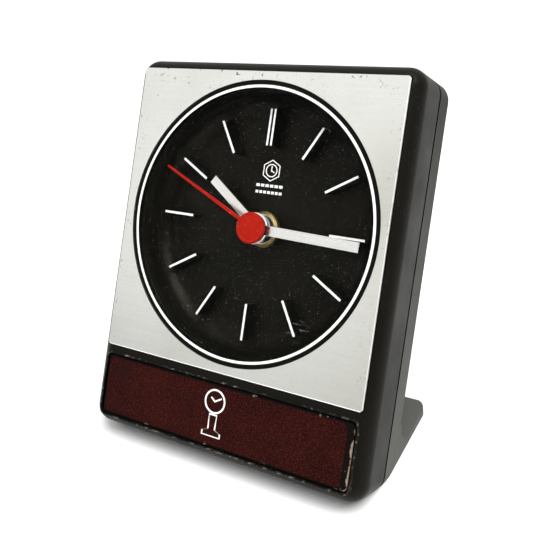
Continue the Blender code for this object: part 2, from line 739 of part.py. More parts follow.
def make_wheels():
    brass = (BRASS, 0.35, 1)
    steel = (STEEL, 0.3, 1)
    nylon = (NYLON, 0.5, 0)
    near_pivot, far_pivot = PIVOT_ENDS

    arbor(
        "centre_wheel", brass, CENTRE,
        [(CANNON_TEETH, MOTION_MODULE, 0, *MOTION_LAYER),
         (CENTRE_TEETH, CENTRE_MODULE, 0, *CENTRE_LAYER)],
        rod(1.2, 5.2, 18.6), (0.65, 5, 19), 16,
    )
    pipe = [(0, 7.4), (2.0, 7.4), (2.0, 15.7), (2.6, 15.7), (2.6, 16.7), (0, 16.7)]
    arbor(
        "hour_wheel", nylon, CENTRE,
        [(HOUR_TEETH, HOUR_MODULE, HOUR_PHASE, *HOUR_LAYER)], pipe, (1.35, 7, 17), 16,
    )
    arbor(
        "minute_work_wheel", nylon, MINUTE_WORK,
        [(MINUTE_PINION_TEETH, HOUR_MODULE, 0, 15.8, MOTION_LAYER[0] + 0.1),
         (MINUTE_WORK_TEETH, MOTION_MODULE, MINUTE_WORK_PHASE, *MOTION_LAYER)],
        rod(0.85, 15.75, MOTION_LAYER[1] + 0.05), (0.6, 15, 18), 16,
    )
    arbor(
        "third_wheel", brass, THIRD,
        [(THIRD_PINION_TEETH, CENTRE_MODULE, THIRD_PINION_PHASE, 17.7, 19.0),
         (THIRD_TEETH, THIRD_MODULE, 0, *THIRD_LAYER)],
        rod(0.42, near_pivot, far_pivot), segments=12,
    )
    seconds_shaft = [(0, 4.75), (0.52, 4.75), (0.52, 22.0), (0.42, 22.0), (0.42, far_pivot)]
    arbor(
        "seconds_wheel", brass, CENTRE,
        [(SECONDS_PINION_TEETH, THIRD_MODULE, SECONDS_PINION_PHASE, 18.8, 20.0),
         (SECONDS_TEETH, SECONDS_MODULE, 0, *SECONDS_LAYER)],
        seconds_shaft + [(0, far_pivot)], segments=16,
    )
    arbor(
        "intermediate_wheel", nylon, INTERMEDIATE,
        [(INTERMEDIATE_PINION_TEETH, SECONDS_MODULE, INTERMEDIATE_PINION_PHASE, 19.7, 21.0),
         (INTERMEDIATE_TEETH, ROTOR_MODULE, 0, *INTERMEDIATE_LAYER)],
        rod(0.8, 19.7, 21.8), (0.5, 19, 22.5), 12,
    )
    arbor(
        "rotor", steel, ROTOR,
        [(ROTOR_PINION_TEETH, ROTOR_MODULE, ROTOR_PINION_PHASE, 20.6, 21.7)],
        [(0, near_pivot), (0.42, near_pivot), (0.42, 17.8), (2.8, 17.8), (2.8, 20.4),
         (0.42, 20.4), (0.42, far_pivot), (0, far_pivot)],
    )
    setting_shaft = [(0, near_pivot), (0.67, near_pivot), (0.67, 15.9), (1.1, 15.9)]
    arbor(
        "setting_arbor", steel, SETTING,
        [(SETTING_TEETH, MOTION_MODULE, SETTING_PHASE, 16.8, 17.6)],
        setting_shaft + [(1.1, 27.4), (0, 27.4)], segments=16,
    )
    x, z = on_case(SETTING)
    grip = []
    for rib in range(18):
        for share, radius in ((0, 5.5), (0.5, 5.5), (0.5, 5.15), (1, 5.15)):
            angle = math.tau * (rib + share) / 18
            grip.append((radius * math.cos(angle), radius * math.sin(angle)))
    knob = finish(prism(grip, 25.2, 29.2), "setting_knob", (DARK, 0.5, 0), at=(x, 0, z))
    cut(knob, finish(turned(rod(1.2, 24, 27.7), segments=16), "knob_bore", None, at=(x, 0, z)))


def make_motor():
    steel = (STEEL, 0.35, 1)
    stator_outline = [
        (8, 3), (8, 12), (11, 17.6), (23.6, 17.6), (23.6, 14.9), (17.8, 14.9),
        (17.8, -5.9), (23.6, -5.9), (23.6, -8.6), (13.5, -8.6), (11, -2),
    ]
    stator = finish(
        prism([on_case(point) for point in stator_outline], *STATOR_LAYER), "stator", steel
    )
    cut(stator, finish(turned(rod(3.3, 18, 20), on_case(ROTOR), 32), "stator_hole", None))
    x, z = on_case((COIL_X, 0))
    core = finish(
        box((x - 1.1, CORE_LAYER[0], z - 8.4), (x + 1.1, CORE_LAYER[1], z + 17.4)),
        "coil_core", steel,
    )
    places = [on_case((COIL_X, height)) for height in COIL_SCREWS]
    cut(stator, finish(rods(places, 0.75, 18, 20, 12), "stator_screw_holes", None))
    cut(core, finish(rods(places, 0.75, 17, 19, 12), "core_screw_holes", None))

    spool = [(1.3, -5.0), (2.35, -5.0), (2.35, -4.4), (1.5, -4.4), (1.5, 13.4)]
    spool += [(2.35, 13.4), (2.35, 14.0), (1.3, 14.0)]
    upright = [(r, -height) for r, height in spool]
    at = (x, COIL_DEPTH, z)
    finish(turned(upright, segments=24), "coil_bobbin", (NYLON, 0.5, 0), at, STANDING_UP)
    finish(
        turned(tube(1.65, 2.25, -13.2, 4.2), segments=24), "coil_winding",
        ((0.55, 0.2, 0.07), 0.35, 1), at, STANDING_UP,
    )
    screw = [(0, 14.9), (0.5, 14.9), (0.5, 19.8), (1.2, 19.8), (1.2, 20.4), (0, 20.4)]
    for name, place in zip(("coil_screw_top", "coil_screw_bottom"), places):
        finish(turned(screw, place, 12), name, steel)


STANDING_UP = (math.radians(-90), 0, 0)


def make_electronics():
    x, z = HAND_AXIS
    board = box((x - 25, BOARD_LAYER[0], z - 27.8), (x - 4, BOARD_LAYER[1], z - 15.5))
    finish(board, "circuit_board", ((0.05, 0.16, 0.06), 0.5, 0))
    can = turned([(0, 0), (1.3, 0), (1.5, 0.3), (1.5, 6.7), (0, 6.7)], segments=16)
    finish(can, "quartz_crystal", (STEEL, 0.25, 1), (x - 21, 18.8, z - 23.5), ALONG_X)
    chip = box((x - 14, 18.9, z - 20.5), (x - 8, 20.3, z - 16.5))
    finish(chip, "timing_chip", (BLACK, 0.4, 0))
    trimmer = [(0, 18.4), (0.9, 18.4), (0.9, 18.8), (2.0, 18.8), (2.0, 20.3), (0, 20.3)]
    finish(turned(trimmer, (x - 18.2, z - 18.2), 16), "trimmer", (NYLON, 0.4, 0))


def strip_along(points, thickness):
    """The outline of a sheet-metal strip bent along an (x, z) path of straight runs."""
    sides = ([], [])
    for i, (x, z) in enumerate(points):
        before = Vector(points[i]) - Vector(points[i - 1]) if i else None
        after = Vector(points[i + 1]) - Vector(points[i]) if i + 1 < len(points) else None
        runs = [run.normalized() for run in (before, after) if run]
        normals = [Vector((-run.y, run.x)) for run in runs]
        mitre = sum(normals, Vector((0, 0))).normalized()
        reach = thickness / 2 / mitre.dot(normals[0])
        for side, sign in zip(sides, (1, -1)):
            side.append((x + sign * mitre.x * reach, z + sign * mitre.y * reach))
    return sides[0] + sides[1][::-1]


def make_battery():
    y, z = CELL_AXIS
    length = CELL_HALF_LENGTH
    cell = [
        (0, -length), (6.2, -length), (CELL_RADIUS, 0.5 - length), (CELL_RADIUS, length - 1.9),
        (6.4, length - 1.2), (2.7, length - 1.2), (2.7, length), (0, length),
    ]
    finish(
        turned(cell, segments=40), "battery_cell", ((0.35, 0.28, 0.12), 0.35, 0.6),
        (0, y, z), ALONG_X,
    )

    tray = finish(box((-29.5, 9.0, -54.6), (29.5, 23.6, -46.0)), "battery_tray", (DARK, 0.5, 0))
    walls = bmesh.new()
    for side in (-1, 1):
        low, high = sorted((side * 27.9, side * 29.2))
        add_box(walls, (low, 11.0, -49.0), (high, 22.0, -40.0))
        low, high = sorted((side * 29.0, side * 37.0))
        add_box(walls, (low, 19.0, -59.5), (high, 20.6, -50.0))
    join(tray, finish(walls, "tray_walls", None))
    bay = turned(rod(7.4, -27.6, 27.6), segments=40)
    cut(tray, finish(bay, "battery_bay", None, (0, y, z), ALONG_X))
    cut(tray, finish(rods(TRAY_SCREWS, 1.1, 18, 22, 12), "tray_screw_holes", None))

    gilt = ((0.7, 0.62, 0.4), 0.3, 1)
    minus = [
        (-26.3, -48), (-25.6, -45.5), (-26.3, -43), (-27.2, -40.5), (-27.2, -34.6),
        (-19.9, -34.6), (-19.9, -28.4),
    ]
    plus = [
        (26.3, -49), (25.6, -45.5), (26.3, -42), (27.2, -40.5), (27.2, -35.6),
        (-8.9, -35.6), (-8.9, -28.4),
    ]
    finish(prism(strip_along(minus, 0.4), 17.6, 20.0), "contact_minus", gilt)
    finish(prism(strip_along(plus, 0.4), 17.6, 20.0), "contact_plus", gilt)

    hinge_y, hinge_z = DOOR_HINGE
    door = finish(
        box(
            (-DOOR_HALF_WIDTH, 24.9 - hinge_y, DOOR_BOTTOM - hinge_z),
            (DOOR_HALF_WIDTH, CASE_DEPTH - hinge_y, DOOR_TOP - 0.2 - hinge_z),
        ),
        "battery_door", (DARK, 0.5, 0), at=(0, hinge_y, hinge_z),
    )
    pin = DOOR_HALF_WIDTH + 1.0
    stubs = turned(rod(0.5, -pin, pin), segments=12)
    join(door, finish(stubs, "door_pins", None, at=(0, hinge_y, hinge_z), turn=ALONG_X))


def make_fasteners():
    steel = (STEEL, 0.3, 1)
    names = ("top_left", "top_right", "bottom_left", "bottom_right")
    screw = [(0, 9.0), (1.0, 9.0), (1.0, 20.7), (2.3, 20.7), (2.3, 22.2), (0, 22.2)]
    for name, place in zip(names, CASE_SCREWS):
        add_screw(f"case_screw_{name}", screw, place, steel, 22.2)
    screw = [(0, 12.0), (0.9, 12.0), (0.9, 20.9), (2.0, 20.9), (2.0, 22.0), (0, 22.0)]
    for name, place in zip(("left", "right"), TRAY_SCREWS):
        add_screw(f"tray_screw_{name}", screw, place, steel, 22.0)
    screw = [(0, 18.0), (0.65, 18.0), (0.65, 23.2), (1.6, 23.2), (1.6, 23.8), (0, 23.8)]
    for name, place in zip(("left", "right"), MOVEMENT_SCREWS):
        add_screw(f"movement_screw_{name}", screw, on_case(place), steel, 23.8)

    pad = [(0, -0.5), (4.2, -0.5), (4.2, 0), (3.9, PAD_PROUD), (0, PAD_PROUD)]
    pad_names = ("front_left", "front_right", "rear_left", "rear_right")
    for name, place in zip(pad_names, PADS):
        finish(turned(pad, place, 28), f"foot_pad_{name}", (BLACK, 0.9, 0), *standing())


def add_screw(name, profile, place, look, head_face):
    """A screw with a straight driver slot across its head."""
    x, z = place
    screw = finish(turned(profile, place, 14), name, look)
    slot = box((x - 3, head_face - 0.4, z - 0.3), (x + 3, head_face + 1, z + 0.3))
    cut(screw, finish(slot, f"{name}_slot", None))


def main():
    clear_scene()
    make_case_frame()
    make_front_shell()
    make_rear_cover()
    make_face()
    make_dial()
    make_hands()
    make_movement_housing()
    make_wheels()
    make_motor()
    make_electronics()
    make_battery()
    make_fasteners()


main()
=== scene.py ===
import math

import bmesh
import bpy
from mathutils import Matrix, Vector, noise


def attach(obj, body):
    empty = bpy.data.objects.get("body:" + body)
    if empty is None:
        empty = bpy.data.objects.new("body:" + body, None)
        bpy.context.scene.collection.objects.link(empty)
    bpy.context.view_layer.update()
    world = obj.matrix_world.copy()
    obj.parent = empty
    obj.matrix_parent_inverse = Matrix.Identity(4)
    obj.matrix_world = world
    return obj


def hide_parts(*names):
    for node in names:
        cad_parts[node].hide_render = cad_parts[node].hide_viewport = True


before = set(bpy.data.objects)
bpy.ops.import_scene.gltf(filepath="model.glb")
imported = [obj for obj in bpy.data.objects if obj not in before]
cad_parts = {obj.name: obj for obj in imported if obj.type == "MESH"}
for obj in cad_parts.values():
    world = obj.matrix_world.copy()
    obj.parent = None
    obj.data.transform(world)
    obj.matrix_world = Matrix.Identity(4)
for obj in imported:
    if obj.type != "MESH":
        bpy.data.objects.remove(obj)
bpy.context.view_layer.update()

# sizes in millimetres, places on the face as (x, z), all in the case's own frame
MM = 0.001
LEAN = math.radians(30)
CASE_HALF_WIDTH = 51.5
CASE_TOP = 51.5
CASE_BOTTOM = -75.5
CASE_CORNER = 6.0
CASE_DEPTH = 26.3
FRONT_ROUND = 5.8
REAR_ROUND = 1.5
WALL = 2.0
FRONT_WALL = 3.0
SEAM = 16.8
SEAM_GROOVE = 0.7
POST_RADIUS = 3.2
GAP = 0.3
UNDERSIDE_AT_FACE = -82.9
FOOT_END = 59.0
FOOT_THICK = 2.5
FOOT_CORNER = 5.0
FOOT_SWEEP = 5.8
FOOT_EDGE = 0.9
DIAL_CENTRE = (0.4, 0.0)
HAND_AXIS = (0.4, -1.2)
HOUR_ANGLE = math.radians(305.9)
MINUTE_ANGLE = math.radians(91.5)
SECOND_ANGLE = math.radians(294.5)
HOUR_HUB, HOUR_WIDTH = 4.8, 3.0
MINUTE_HUB, MINUTE_WIDTH = 5.1, 3.2
SETTING = (0.4, -13.2)
STRIP_TOP = -51.6
STRIP_BOTTOM = -71.4
STRIP_HALF_WIDTH = 46.6
PAD_CORNER = 1.3
DOOR_HALF_WIDTH = 27.2
DOOR_TOP = -37.0
DOOR_BOTTOM = -51.3
DOOR_HINGE = (25.6, -37.9)
CASE_SCREWS = ((-44, 44), (44, 44), (-44, -46), (44, -46))
TRAY_SCREWS = ((-34, -57), (34, -57))
PADS = ((-42, 26.5), (42, 26.5), (-42, 52.5), (42, 52.5))
PLATE_HALF = 48.0
PLATE_OPENING = 45.24
LENS_RADIUS = 44.9
RING_INNER, RING_OUTER = 42.96, 43.8
BOWL_FLOOR = 12.5
BOWL_HOLE = 4.2
FIN_INNER, FIN_OUTER = 25.8, 37.7
FIN_FRONT = 7.62
FIN_WIDTH = 0.8
TWIN_FIN_WIDTH, TWIN_FIN_OFFSET = 0.7, 0.72
EMBLEM = (-0.1, 18.2)
EMBLEM_DEPTH = (12.38, 12.46)
SIGN = (-1.2, -57.0)
SIGN_DEPTH = (-0.24, -0.12)

# the studio: lights as (name, place, size, power), and the camera in the case's frame, in metres
LIT_POINT = (0, 0, 0.05)
LIGHTS = (
    ("card", (-0.50, -0.70, 0.66), 1.0, 3.5),
    ("top", (0.0, 0.1, 1.4), 0.9, 6.0),
    ("window", (0.53, -0.24, 1.1), 0.75, 17.0),
)
CAMERA_LENS = 47.23
CAMERA_SHIFT = (0.0005, -0.0845)
CAMERA_PLACE = (0.12301, -0.19492, 0.00354)
CAMERA_RIGHT = (0.861, 0.4884, 0.142)
CAMERA_DOWN = (0.134, 0.0515, -0.9896)

# the case's own frame: x right, y into the case, z up the face, from the middle of the face plate
PLATE_MIDDLE = (0, -0.0056872, 0.0720935)
CASE = Matrix.Translation(PLATE_MIDDLE) @ Matrix.Rotation(-LEAN, 4, "X")

# a plan of the foot in the case's frame: x right, y down through the ground, z back along it
STANDING = Matrix.Translation((0, 0, UNDERSIDE_AT_FACE * MM)) @ Matrix.Rotation(
    math.radians(-60), 4, "X"
)
UNDER_GROUND = ((-60, 0, -30), (60, 30, 80))


# ---- meshes, drawn in millimetres in the case's own frame ----
def over_ground(along, height):
    """Depth and height in the case's frame of a point along the ground and above it."""
    y = along * math.cos(LEAN) - height * math.sin(LEAN)
    z = UNDERSIDE_AT_FACE + along * math.sin(LEAN) + height * math.cos(LEAN)
    return y, z


def at(x, z, y=0.0):
    return Matrix.Translation((x * MM, y * MM, z * MM))


def clockwise(angle):
    return Matrix.Rotation(angle, 4, "Y")


def extrude(bm, face, along):
    grown = bmesh.ops.extrude_face_region(bm, geom=[face])["geom"]
    moved = [v for v in grown if isinstance(v, bmesh.types.BMVert)]
    bmesh.ops.translate(bm, verts=moved, vec=along)


def bridge(bm, ring, following):
    """A closed band of faces between two loops with the same number of points."""
    for i in range(len(ring)):
        j = (i + 1) % len(ring)
        bm.faces.new((ring[i], ring[j], following[j], following[i]))


def add_box(bm, low, high):
    centre = [(a + b) / 2 for a, b in zip(low, high)]
    size = [b - a for a, b in zip(low, high)]
    matrix = Matrix.Translation(centre) @ Matrix.Diagonal((*size, 1))
    return bmesh.ops.create_cube(bm, size=1, matrix=matrix)["verts"]


def box(low, high):
    bm = bmesh.new()
    add_box(bm, low, high)
    return bm


def add_prism(bm, outline, near, far):
    face = bm.faces.new([bm.verts.new((x, near, z)) for x, z in outline])
    extrude(bm, face, (0, far - near, 0))


def prism(outline, near, far):
    bm = bmesh.new()
    add_prism(bm, outline, near, far)
    return bm


def add_turned(bm, profile, centre=(0, 0), segments=64):
    """Turns a profile of (radius, depth) points round a place on the face."""
    x, z = centre
    points = [bm.verts.new((x + r, y, z)) for r, y in profile]
    edges = [bm.edges.new(pair) for pair in zip(points, points[1:])]
    if profile[0][0] > 0 or profile[-1][0] > 0:
        edges.append(bm.edges.new((points[-1], points[0])))
    bmesh.ops.spin(
        bm, geom=points + edges, cent=(x, 0, z), axis=(0, 1, 0), dvec=(0, 0, 0),
        angle=math.tau, steps=segments, use_merge=True,
    )
    bmesh.ops.remove_doubles(bm, verts=bm.verts[:], dist=0.0005)


def turned(profile, centre=(0, 0), segments=64):
    bm = bmesh.new()
    add_turned(bm, profile, centre, segments)
    return bm


def rod(radius, near, far):
    return [(0, near), (radius, near), (radius, far), (0, far)]


def rods(places, radius, near, far, segments=32):
    bm = bmesh.new()
    for place in places:
        add_turned(bm, rod(radius, near, far), place, segments)
    return bm


def arc(centre, radius, start, end, steps):
    angles = [math.radians(start + (end - start) * i / steps) for i in range(steps + 1)]
    return [(centre[0] + radius * math.cos(a), centre[1] + radius * math.sin(a)) for a in angles]


def rounded_rectangle(left, right, bottom, top, radius, steps=10):
    corners = (
        (right - radius, top - radius, 0),
        (left + radius, top - radius, 90),
        (left + radius, bottom + radius, 180),
        (right - radius, bottom + radius, 270),
    )
    outline = []
    for x, z, start in corners:
        outline += arc((x, z), radius, start, start + 90, steps)
    return outline


def case_outline(inset):
    return rounded_rectangle(
        -CASE_HALF_WIDTH + inset, CASE_HALF_WIDTH - inset, CASE_BOTTOM + inset,
        CASE_TOP - inset, max(CASE_CORNER - inset, 0.15),
    )


def loft(sections):
    """A closed skin through (depth, outline) sections."""
    bm = bmesh.new()
    rings = [[bm.verts.new((x, y, z)) for x, z in outline] for y, outline in sections]
    for ring, following in zip(rings, rings[1:]):
        bridge(bm, ring, following)
    bm.faces.new(rings[0])
    bm.faces.new(rings[-1])
    return bm


def rounding(radius, steps):
    """(inset, depth) pairs down a quarter-round edge."""
    angles = [math.pi / 2 * i / steps for i in range(steps + 1)]
    return [(radius * (1 - math.sin(a)), radius * (1 - math.cos(a))) for a in angles]


def trim_below(bm, height):
    """Cuts a closed mesh off flat, a height above the ground."""
    y, z = over_ground(0, height)
    bmesh.ops.bisect_plane(
        bm, geom=bm.verts[:] + bm.edges[:] + bm.faces[:], plane_co=(0, y, z),
        plane_no=(0, math.sin(LEAN), -math.cos(LEAN)), clear_outer=True,
    )
    bmesh.ops.edgeloop_fill(bm, edges=[edge for edge in bm.edges if edge.is_boundary])


def to_metres(bm):
    bmesh.ops.recalc_face_normals(bm, faces=bm.faces[:])
    bmesh.ops.scale(bm, vec=(MM, MM, MM), verts=bm.verts[:])


def draw(bm, name, matrix=None):
    """An object from a millimetre bmesh, placed in the case's own frame."""
    to_metres(bm)
    mesh = bpy.data.meshes.new(name)
    bm.to_mesh(mesh)
    bm.free()
    item = bpy.data.objects.new(name, mesh)
    item.matrix_world = CASE @ (matrix or Matrix())
    bpy.context.collection.objects.link(item)
    return item


def merge(target, bm, index=0):
    """Adds drawn faces to a piece's own mesh, with the paint of that index."""
    to_metres(bm)
    for face in bm.faces:
        face.material_index = index
    extra = bpy.data.meshes.new("extra")
    bm.to_mesh(extra)
    bm.free()
    whole = bmesh.new()
    whole.from_mesh(target.data)
    whole.from_mesh(extra)
    whole.to_mesh(target.data)
    whole.free()
    bpy.data.meshes.remove(extra)


def combine(target, tool, operation):
    """Cuts or joins with another piece, bakes the result into the target and drops the tool."""
    step = target.modifiers.new("boolean", "BOOLEAN")
    step.operation = operation
    step.solver = "EXACT"
    step.object = tool
    bake(target)
    bpy.data.objects.remove(tool, do_unlink=True)


def cut(target, bm, matrix=None):
    combine(target, draw(bm, "tool", matrix), "DIFFERENCE")


def join(target, bm, matrix=None):
    combine(target, draw(bm, "tool", matrix), "UNION")


def bake(item):
    """Makes a piece's modifiers part of its mesh."""
    bpy.context.view_layer.update()
    graph = bpy.context.evaluated_depsgraph_get()
    mesh = bpy.data.meshes.new_from_object(item.evaluated_get(graph))
    item.modifiers.clear()
    item.data = mesh


def bevel(item, width, angle=35):
    """Rounds the edges sharper than an angle."""
    step = item.modifiers.new("edges", "BEVEL")
    step.width = width * MM
    step.segments = 2
    step.limit_method = "ANGLE"
    step.angle_limit = math.radians(angle)


def set_upright(item):
    """Turns the mesh instead of the object, so the piece's own box is its true size."""
    item.data.transform(item.matrix_world)
    item.matrix_world = Matrix()


def settle(item, body, node, *paints, sharp=35):
    """Smooths a finished piece, gives it its paints and hangs it on its body; `node`, the CAD node it
    stands for, is not used.
    """
    item.data.shade_smooth()
    item.data.set_sharp_from_angle(angle=math.radians(sharp))
    weighted = item.modifiers.new("normals", "WEIGHTED_NORMAL")
    weighted.keep_sharp = True
    indices = [face.material_index for face in item.data.polygons]
    item.data.materials.clear()
    for paint in paints:
        item.data.materials.append(paint)
    item.data.polygons.foreach_set("material_index", indices)
    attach(item, body)


# ---- materials ----
class Paint:
    """A Principled material whose inputs are fed by procedural textures in object space."""

    def __init__(self, name, colour, roughness, metallic=0.0, **constants):
        self.material = bpy.data.materials.new(name)
        self.material.use_nodes = True
        self.tree = self.material.node_tree
        self.shader = self.tree.nodes["Principled BSDF"]
        self.shader.inputs["Base Color"].default_value = (*colour, 1)
        self.shader.inputs["Roughness"].default_value = roughness
        self.shader.inputs["Metallic"].default_value = metallic
        for key, value in constants.items():
            self.shader.inputs[key.replace("_", " ")].default_value = value
        self.normal = None
        self.coordinates = self.node("ShaderNodeTexCoord").outputs["Object"]

    def node(self, kind, **settings):
        made = self.tree.nodes.new(kind)
        for key, value in settings.items():
            setattr(made, key, value)
        return made

    def feed(self, socket, value):
        if isinstance(value, bpy.types.NodeSocket):
            self.tree.links.new(value, socket)
        elif isinstance(value, tuple) and len(value) == 3 and socket.type == "RGBA":
            socket.default_value = (*value, 1)
        else:
            socket.default_value = value

    def stretch(self, scale, turn=(0, 0, 0), shift=(0, 0, 0)):
        mapping = self.node("ShaderNodeMapping")
        self.feed(mapping.inputs["Vector"], self.coordinates)
        mapping.inputs["Scale"].default_value = scale
        mapping.inputs["Rotation"].default_value = turn
        mapping.inputs["Location"].default_value = shift
        return mapping.outputs["Vector"]

    def noise(self, scale, detail, roughness, vector=None):
        made = self.node("ShaderNodeTexNoise")
        self.feed(made.inputs["Vector"], vector or self.coordinates)
        made.inputs["Scale"].default_value = scale
        made.inputs["Detail"].default_value = detail
        made.inputs["Roughness"].default_value = roughness
        return made.outputs["Fac"]

    def cells(self, scale, feature="F1"):
        made = self.node("ShaderNodeTexVoronoi", feature=feature)
        self.feed(made.inputs["Vector"], self.coordinates)
        made.inputs["Scale"].default_value = scale
        return made.outputs["Distance"]

    def axis(self, letter):
        made = self.node("ShaderNodeSeparateXYZ")
        self.feed(made.inputs[0], self.coordinates)
        return made.outputs[letter]

    def span(self, value, low, high, start=0.0, end=1.0):
        """Runs from `start` to `end` while the value runs from `low` to `high`, and stays within."""
        made = self.node("ShaderNodeMapRange")
        for socket, given in zip(made.inputs, (value, low, high, start, end)):
            self.feed(socket, given)
        return made.outputs[0]

    def maths(self, operation, a, b=0.0):
        made = self.node("ShaderNodeMath", operation=operation)
        self.feed(made.inputs[0], a)
        self.feed(made.inputs[1], b)
        return made.outputs[0]

    def mix(self, factor, a, b):
        made = self.node("ShaderNodeMix", data_type="RGBA")
        self.feed(made.inputs["Factor"], factor)
        self.feed(made.inputs[6], a)
        self.feed(made.inputs[7], b)
        return made.outputs[2]

    def near(self, place, inner, outer):
        """1 within `inner` of a place on the face in millimetres, 0 beyond `outer`."""
        x, z = (self.maths("SUBTRACT", self.axis(n), v * MM) for n, v in zip("XZ", place))
        square = self.maths("ADD", self.maths("MULTIPLY", x, x), self.maths("MULTIPLY", z, z))
        return self.span(self.maths("SQRT", square), inner * MM, outer * MM, 1.0, 0.0)

    def border(self, sides, corner):
        """How far inside a rounded rectangle on the face, in metres, up to its corner radius."""
        left, right, bottom, top = sides
        squares = []
        for letter, low, high in (("X", left, right), ("Z", bottom, top)):
            middle, half = (low + high) / 2 * MM, (high - low) / 2 * MM
            away = self.maths("ABSOLUTE", self.maths("SUBTRACT", self.axis(letter), middle))
            over = self.maths("MAXIMUM", self.maths("SUBTRACT", away, half - corner * MM), 0.0)
            squares.append(self.maths("MULTIPLY", over, over))
        reach = self.maths("SQRT", self.maths("ADD", *squares))
        return self.maths("SUBTRACT", corner * MM, reach)

    def times(self, *values):
        product = values[0]
        for value in values[1:]:
            product = self.maths("MULTIPLY", product, value)
        return product

    def most(self, *values):
        highest = values[0]
        for value in values[1:]:
            highest = self.maths("MAXIMUM", highest, value)
        return highest

    def set(self, key, value):
        self.feed(self.shader.inputs[key], value)

    def relief(self, height, distance):
        """Adds a relief of that many millimetres on top of those before it."""
        made = self.node("ShaderNodeBump")
        made.inputs["Strength"].default_value = 1.0
        made.inputs["Distance"].default_value = distance * MM
        self.feed(made.inputs["Height"], height)
        if self.normal:
            self.feed(made.inputs["Normal"], self.normal)
        self.normal = made.outputs["Normal"]
        self.set("Normal", self.normal)


def moulded_plastic(name, tone, roughness, grain, dust, shine, low=None, lip=False, upright=False):
    """Moulded grain with dust and painted shade in the seam groove, on every moulded piece.

    `low` is a lighter tone painted in towards the foot as painted light bounced up from the floor, `lip`
    rubs the ridge round the strip's pocket, and
    `upright` reads places in the case's frame on a mesh that stands in the ground's.
    """
    paint = Paint(name, tone, roughness, Specular_IOR_Level=shine, Specular_Tint=(1.0, 0.97, 0.88, 1))
    if upright:
        back = CASE.inverted()
        paint.coordinates = paint.stretch((1, 1, 1), back.to_euler(), back.to_translation())
    patches = paint.noise(90, 4, 0.6)
    specks = paint.span(paint.noise(2600, 2, 0.6), 0.66, 0.76)
    settled = paint.maths("MULTIPLY", specks, paint.span(patches, 0.45, 0.75, 0, dust))
    shade = tone
    if low:
        # painted light: the lighter `low` tone towards the foot stands in for light bounced up from the
        # floor
        shade = paint.mix(paint.span(paint.axis("Z"), 0.045, -0.075), tone, low)
    lighter = paint.span(patches, 0.3, 0.7, 0, 0.02 * sum(tone) / 3)
    shade = paint.mix(lighter, shade, (1.0, 0.98, 0.92))
    shade = paint.mix(settled, shade, (0.30, 0.29, 0.27))
    depth = paint.axis("Y")
    # painted shade: the walls of the seam groove between the halves are made near black and lose their
    # shine, as the narrow gap is in shade
    painted_seam_shade = paint.times(
        paint.span(depth, (SEAM - 0.42) * MM, (SEAM - 0.36) * MM),
        paint.span(depth, (SEAM + 0.60) * MM, (SEAM + 0.66) * MM, 1, 0),
    )
    if lip:
        crest = paint.border((-47.75, 47.75, STRIP_BOTTOM - 1.15, STRIP_TOP + 1.15), 2.3)
        band = paint.times(paint.span(crest, -0.0002, 0.0), paint.span(crest, 0.0004, 0.0006, 1, 0))
        scuffs = paint.span(paint.noise(420, 4, 0.8), 0.54, 0.62, 0, 0.7)
        front = paint.span(depth, 0.0008, 0.0012, 1, 0)
        shade = paint.mix(paint.times(band, scuffs, front), shade, (0.19, 0.185, 0.17))
    paint.set("Base Color", paint.mix(painted_seam_shade, shade, (0.0008, 0.0008, 0.0008)))
    paint.set("Specular IOR Level", paint.span(painted_seam_shade, 0, 1, shine, 0.0))
    paint.set("Roughness", paint.span(patches, 0.3, 0.7, roughness - 0.05, roughness + 0.09))
    paint.relief(paint.cells(1900), grain)
    paint.relief(paint.noise(5200, 2, 0.6), grain * 0.6)
    return paint.material


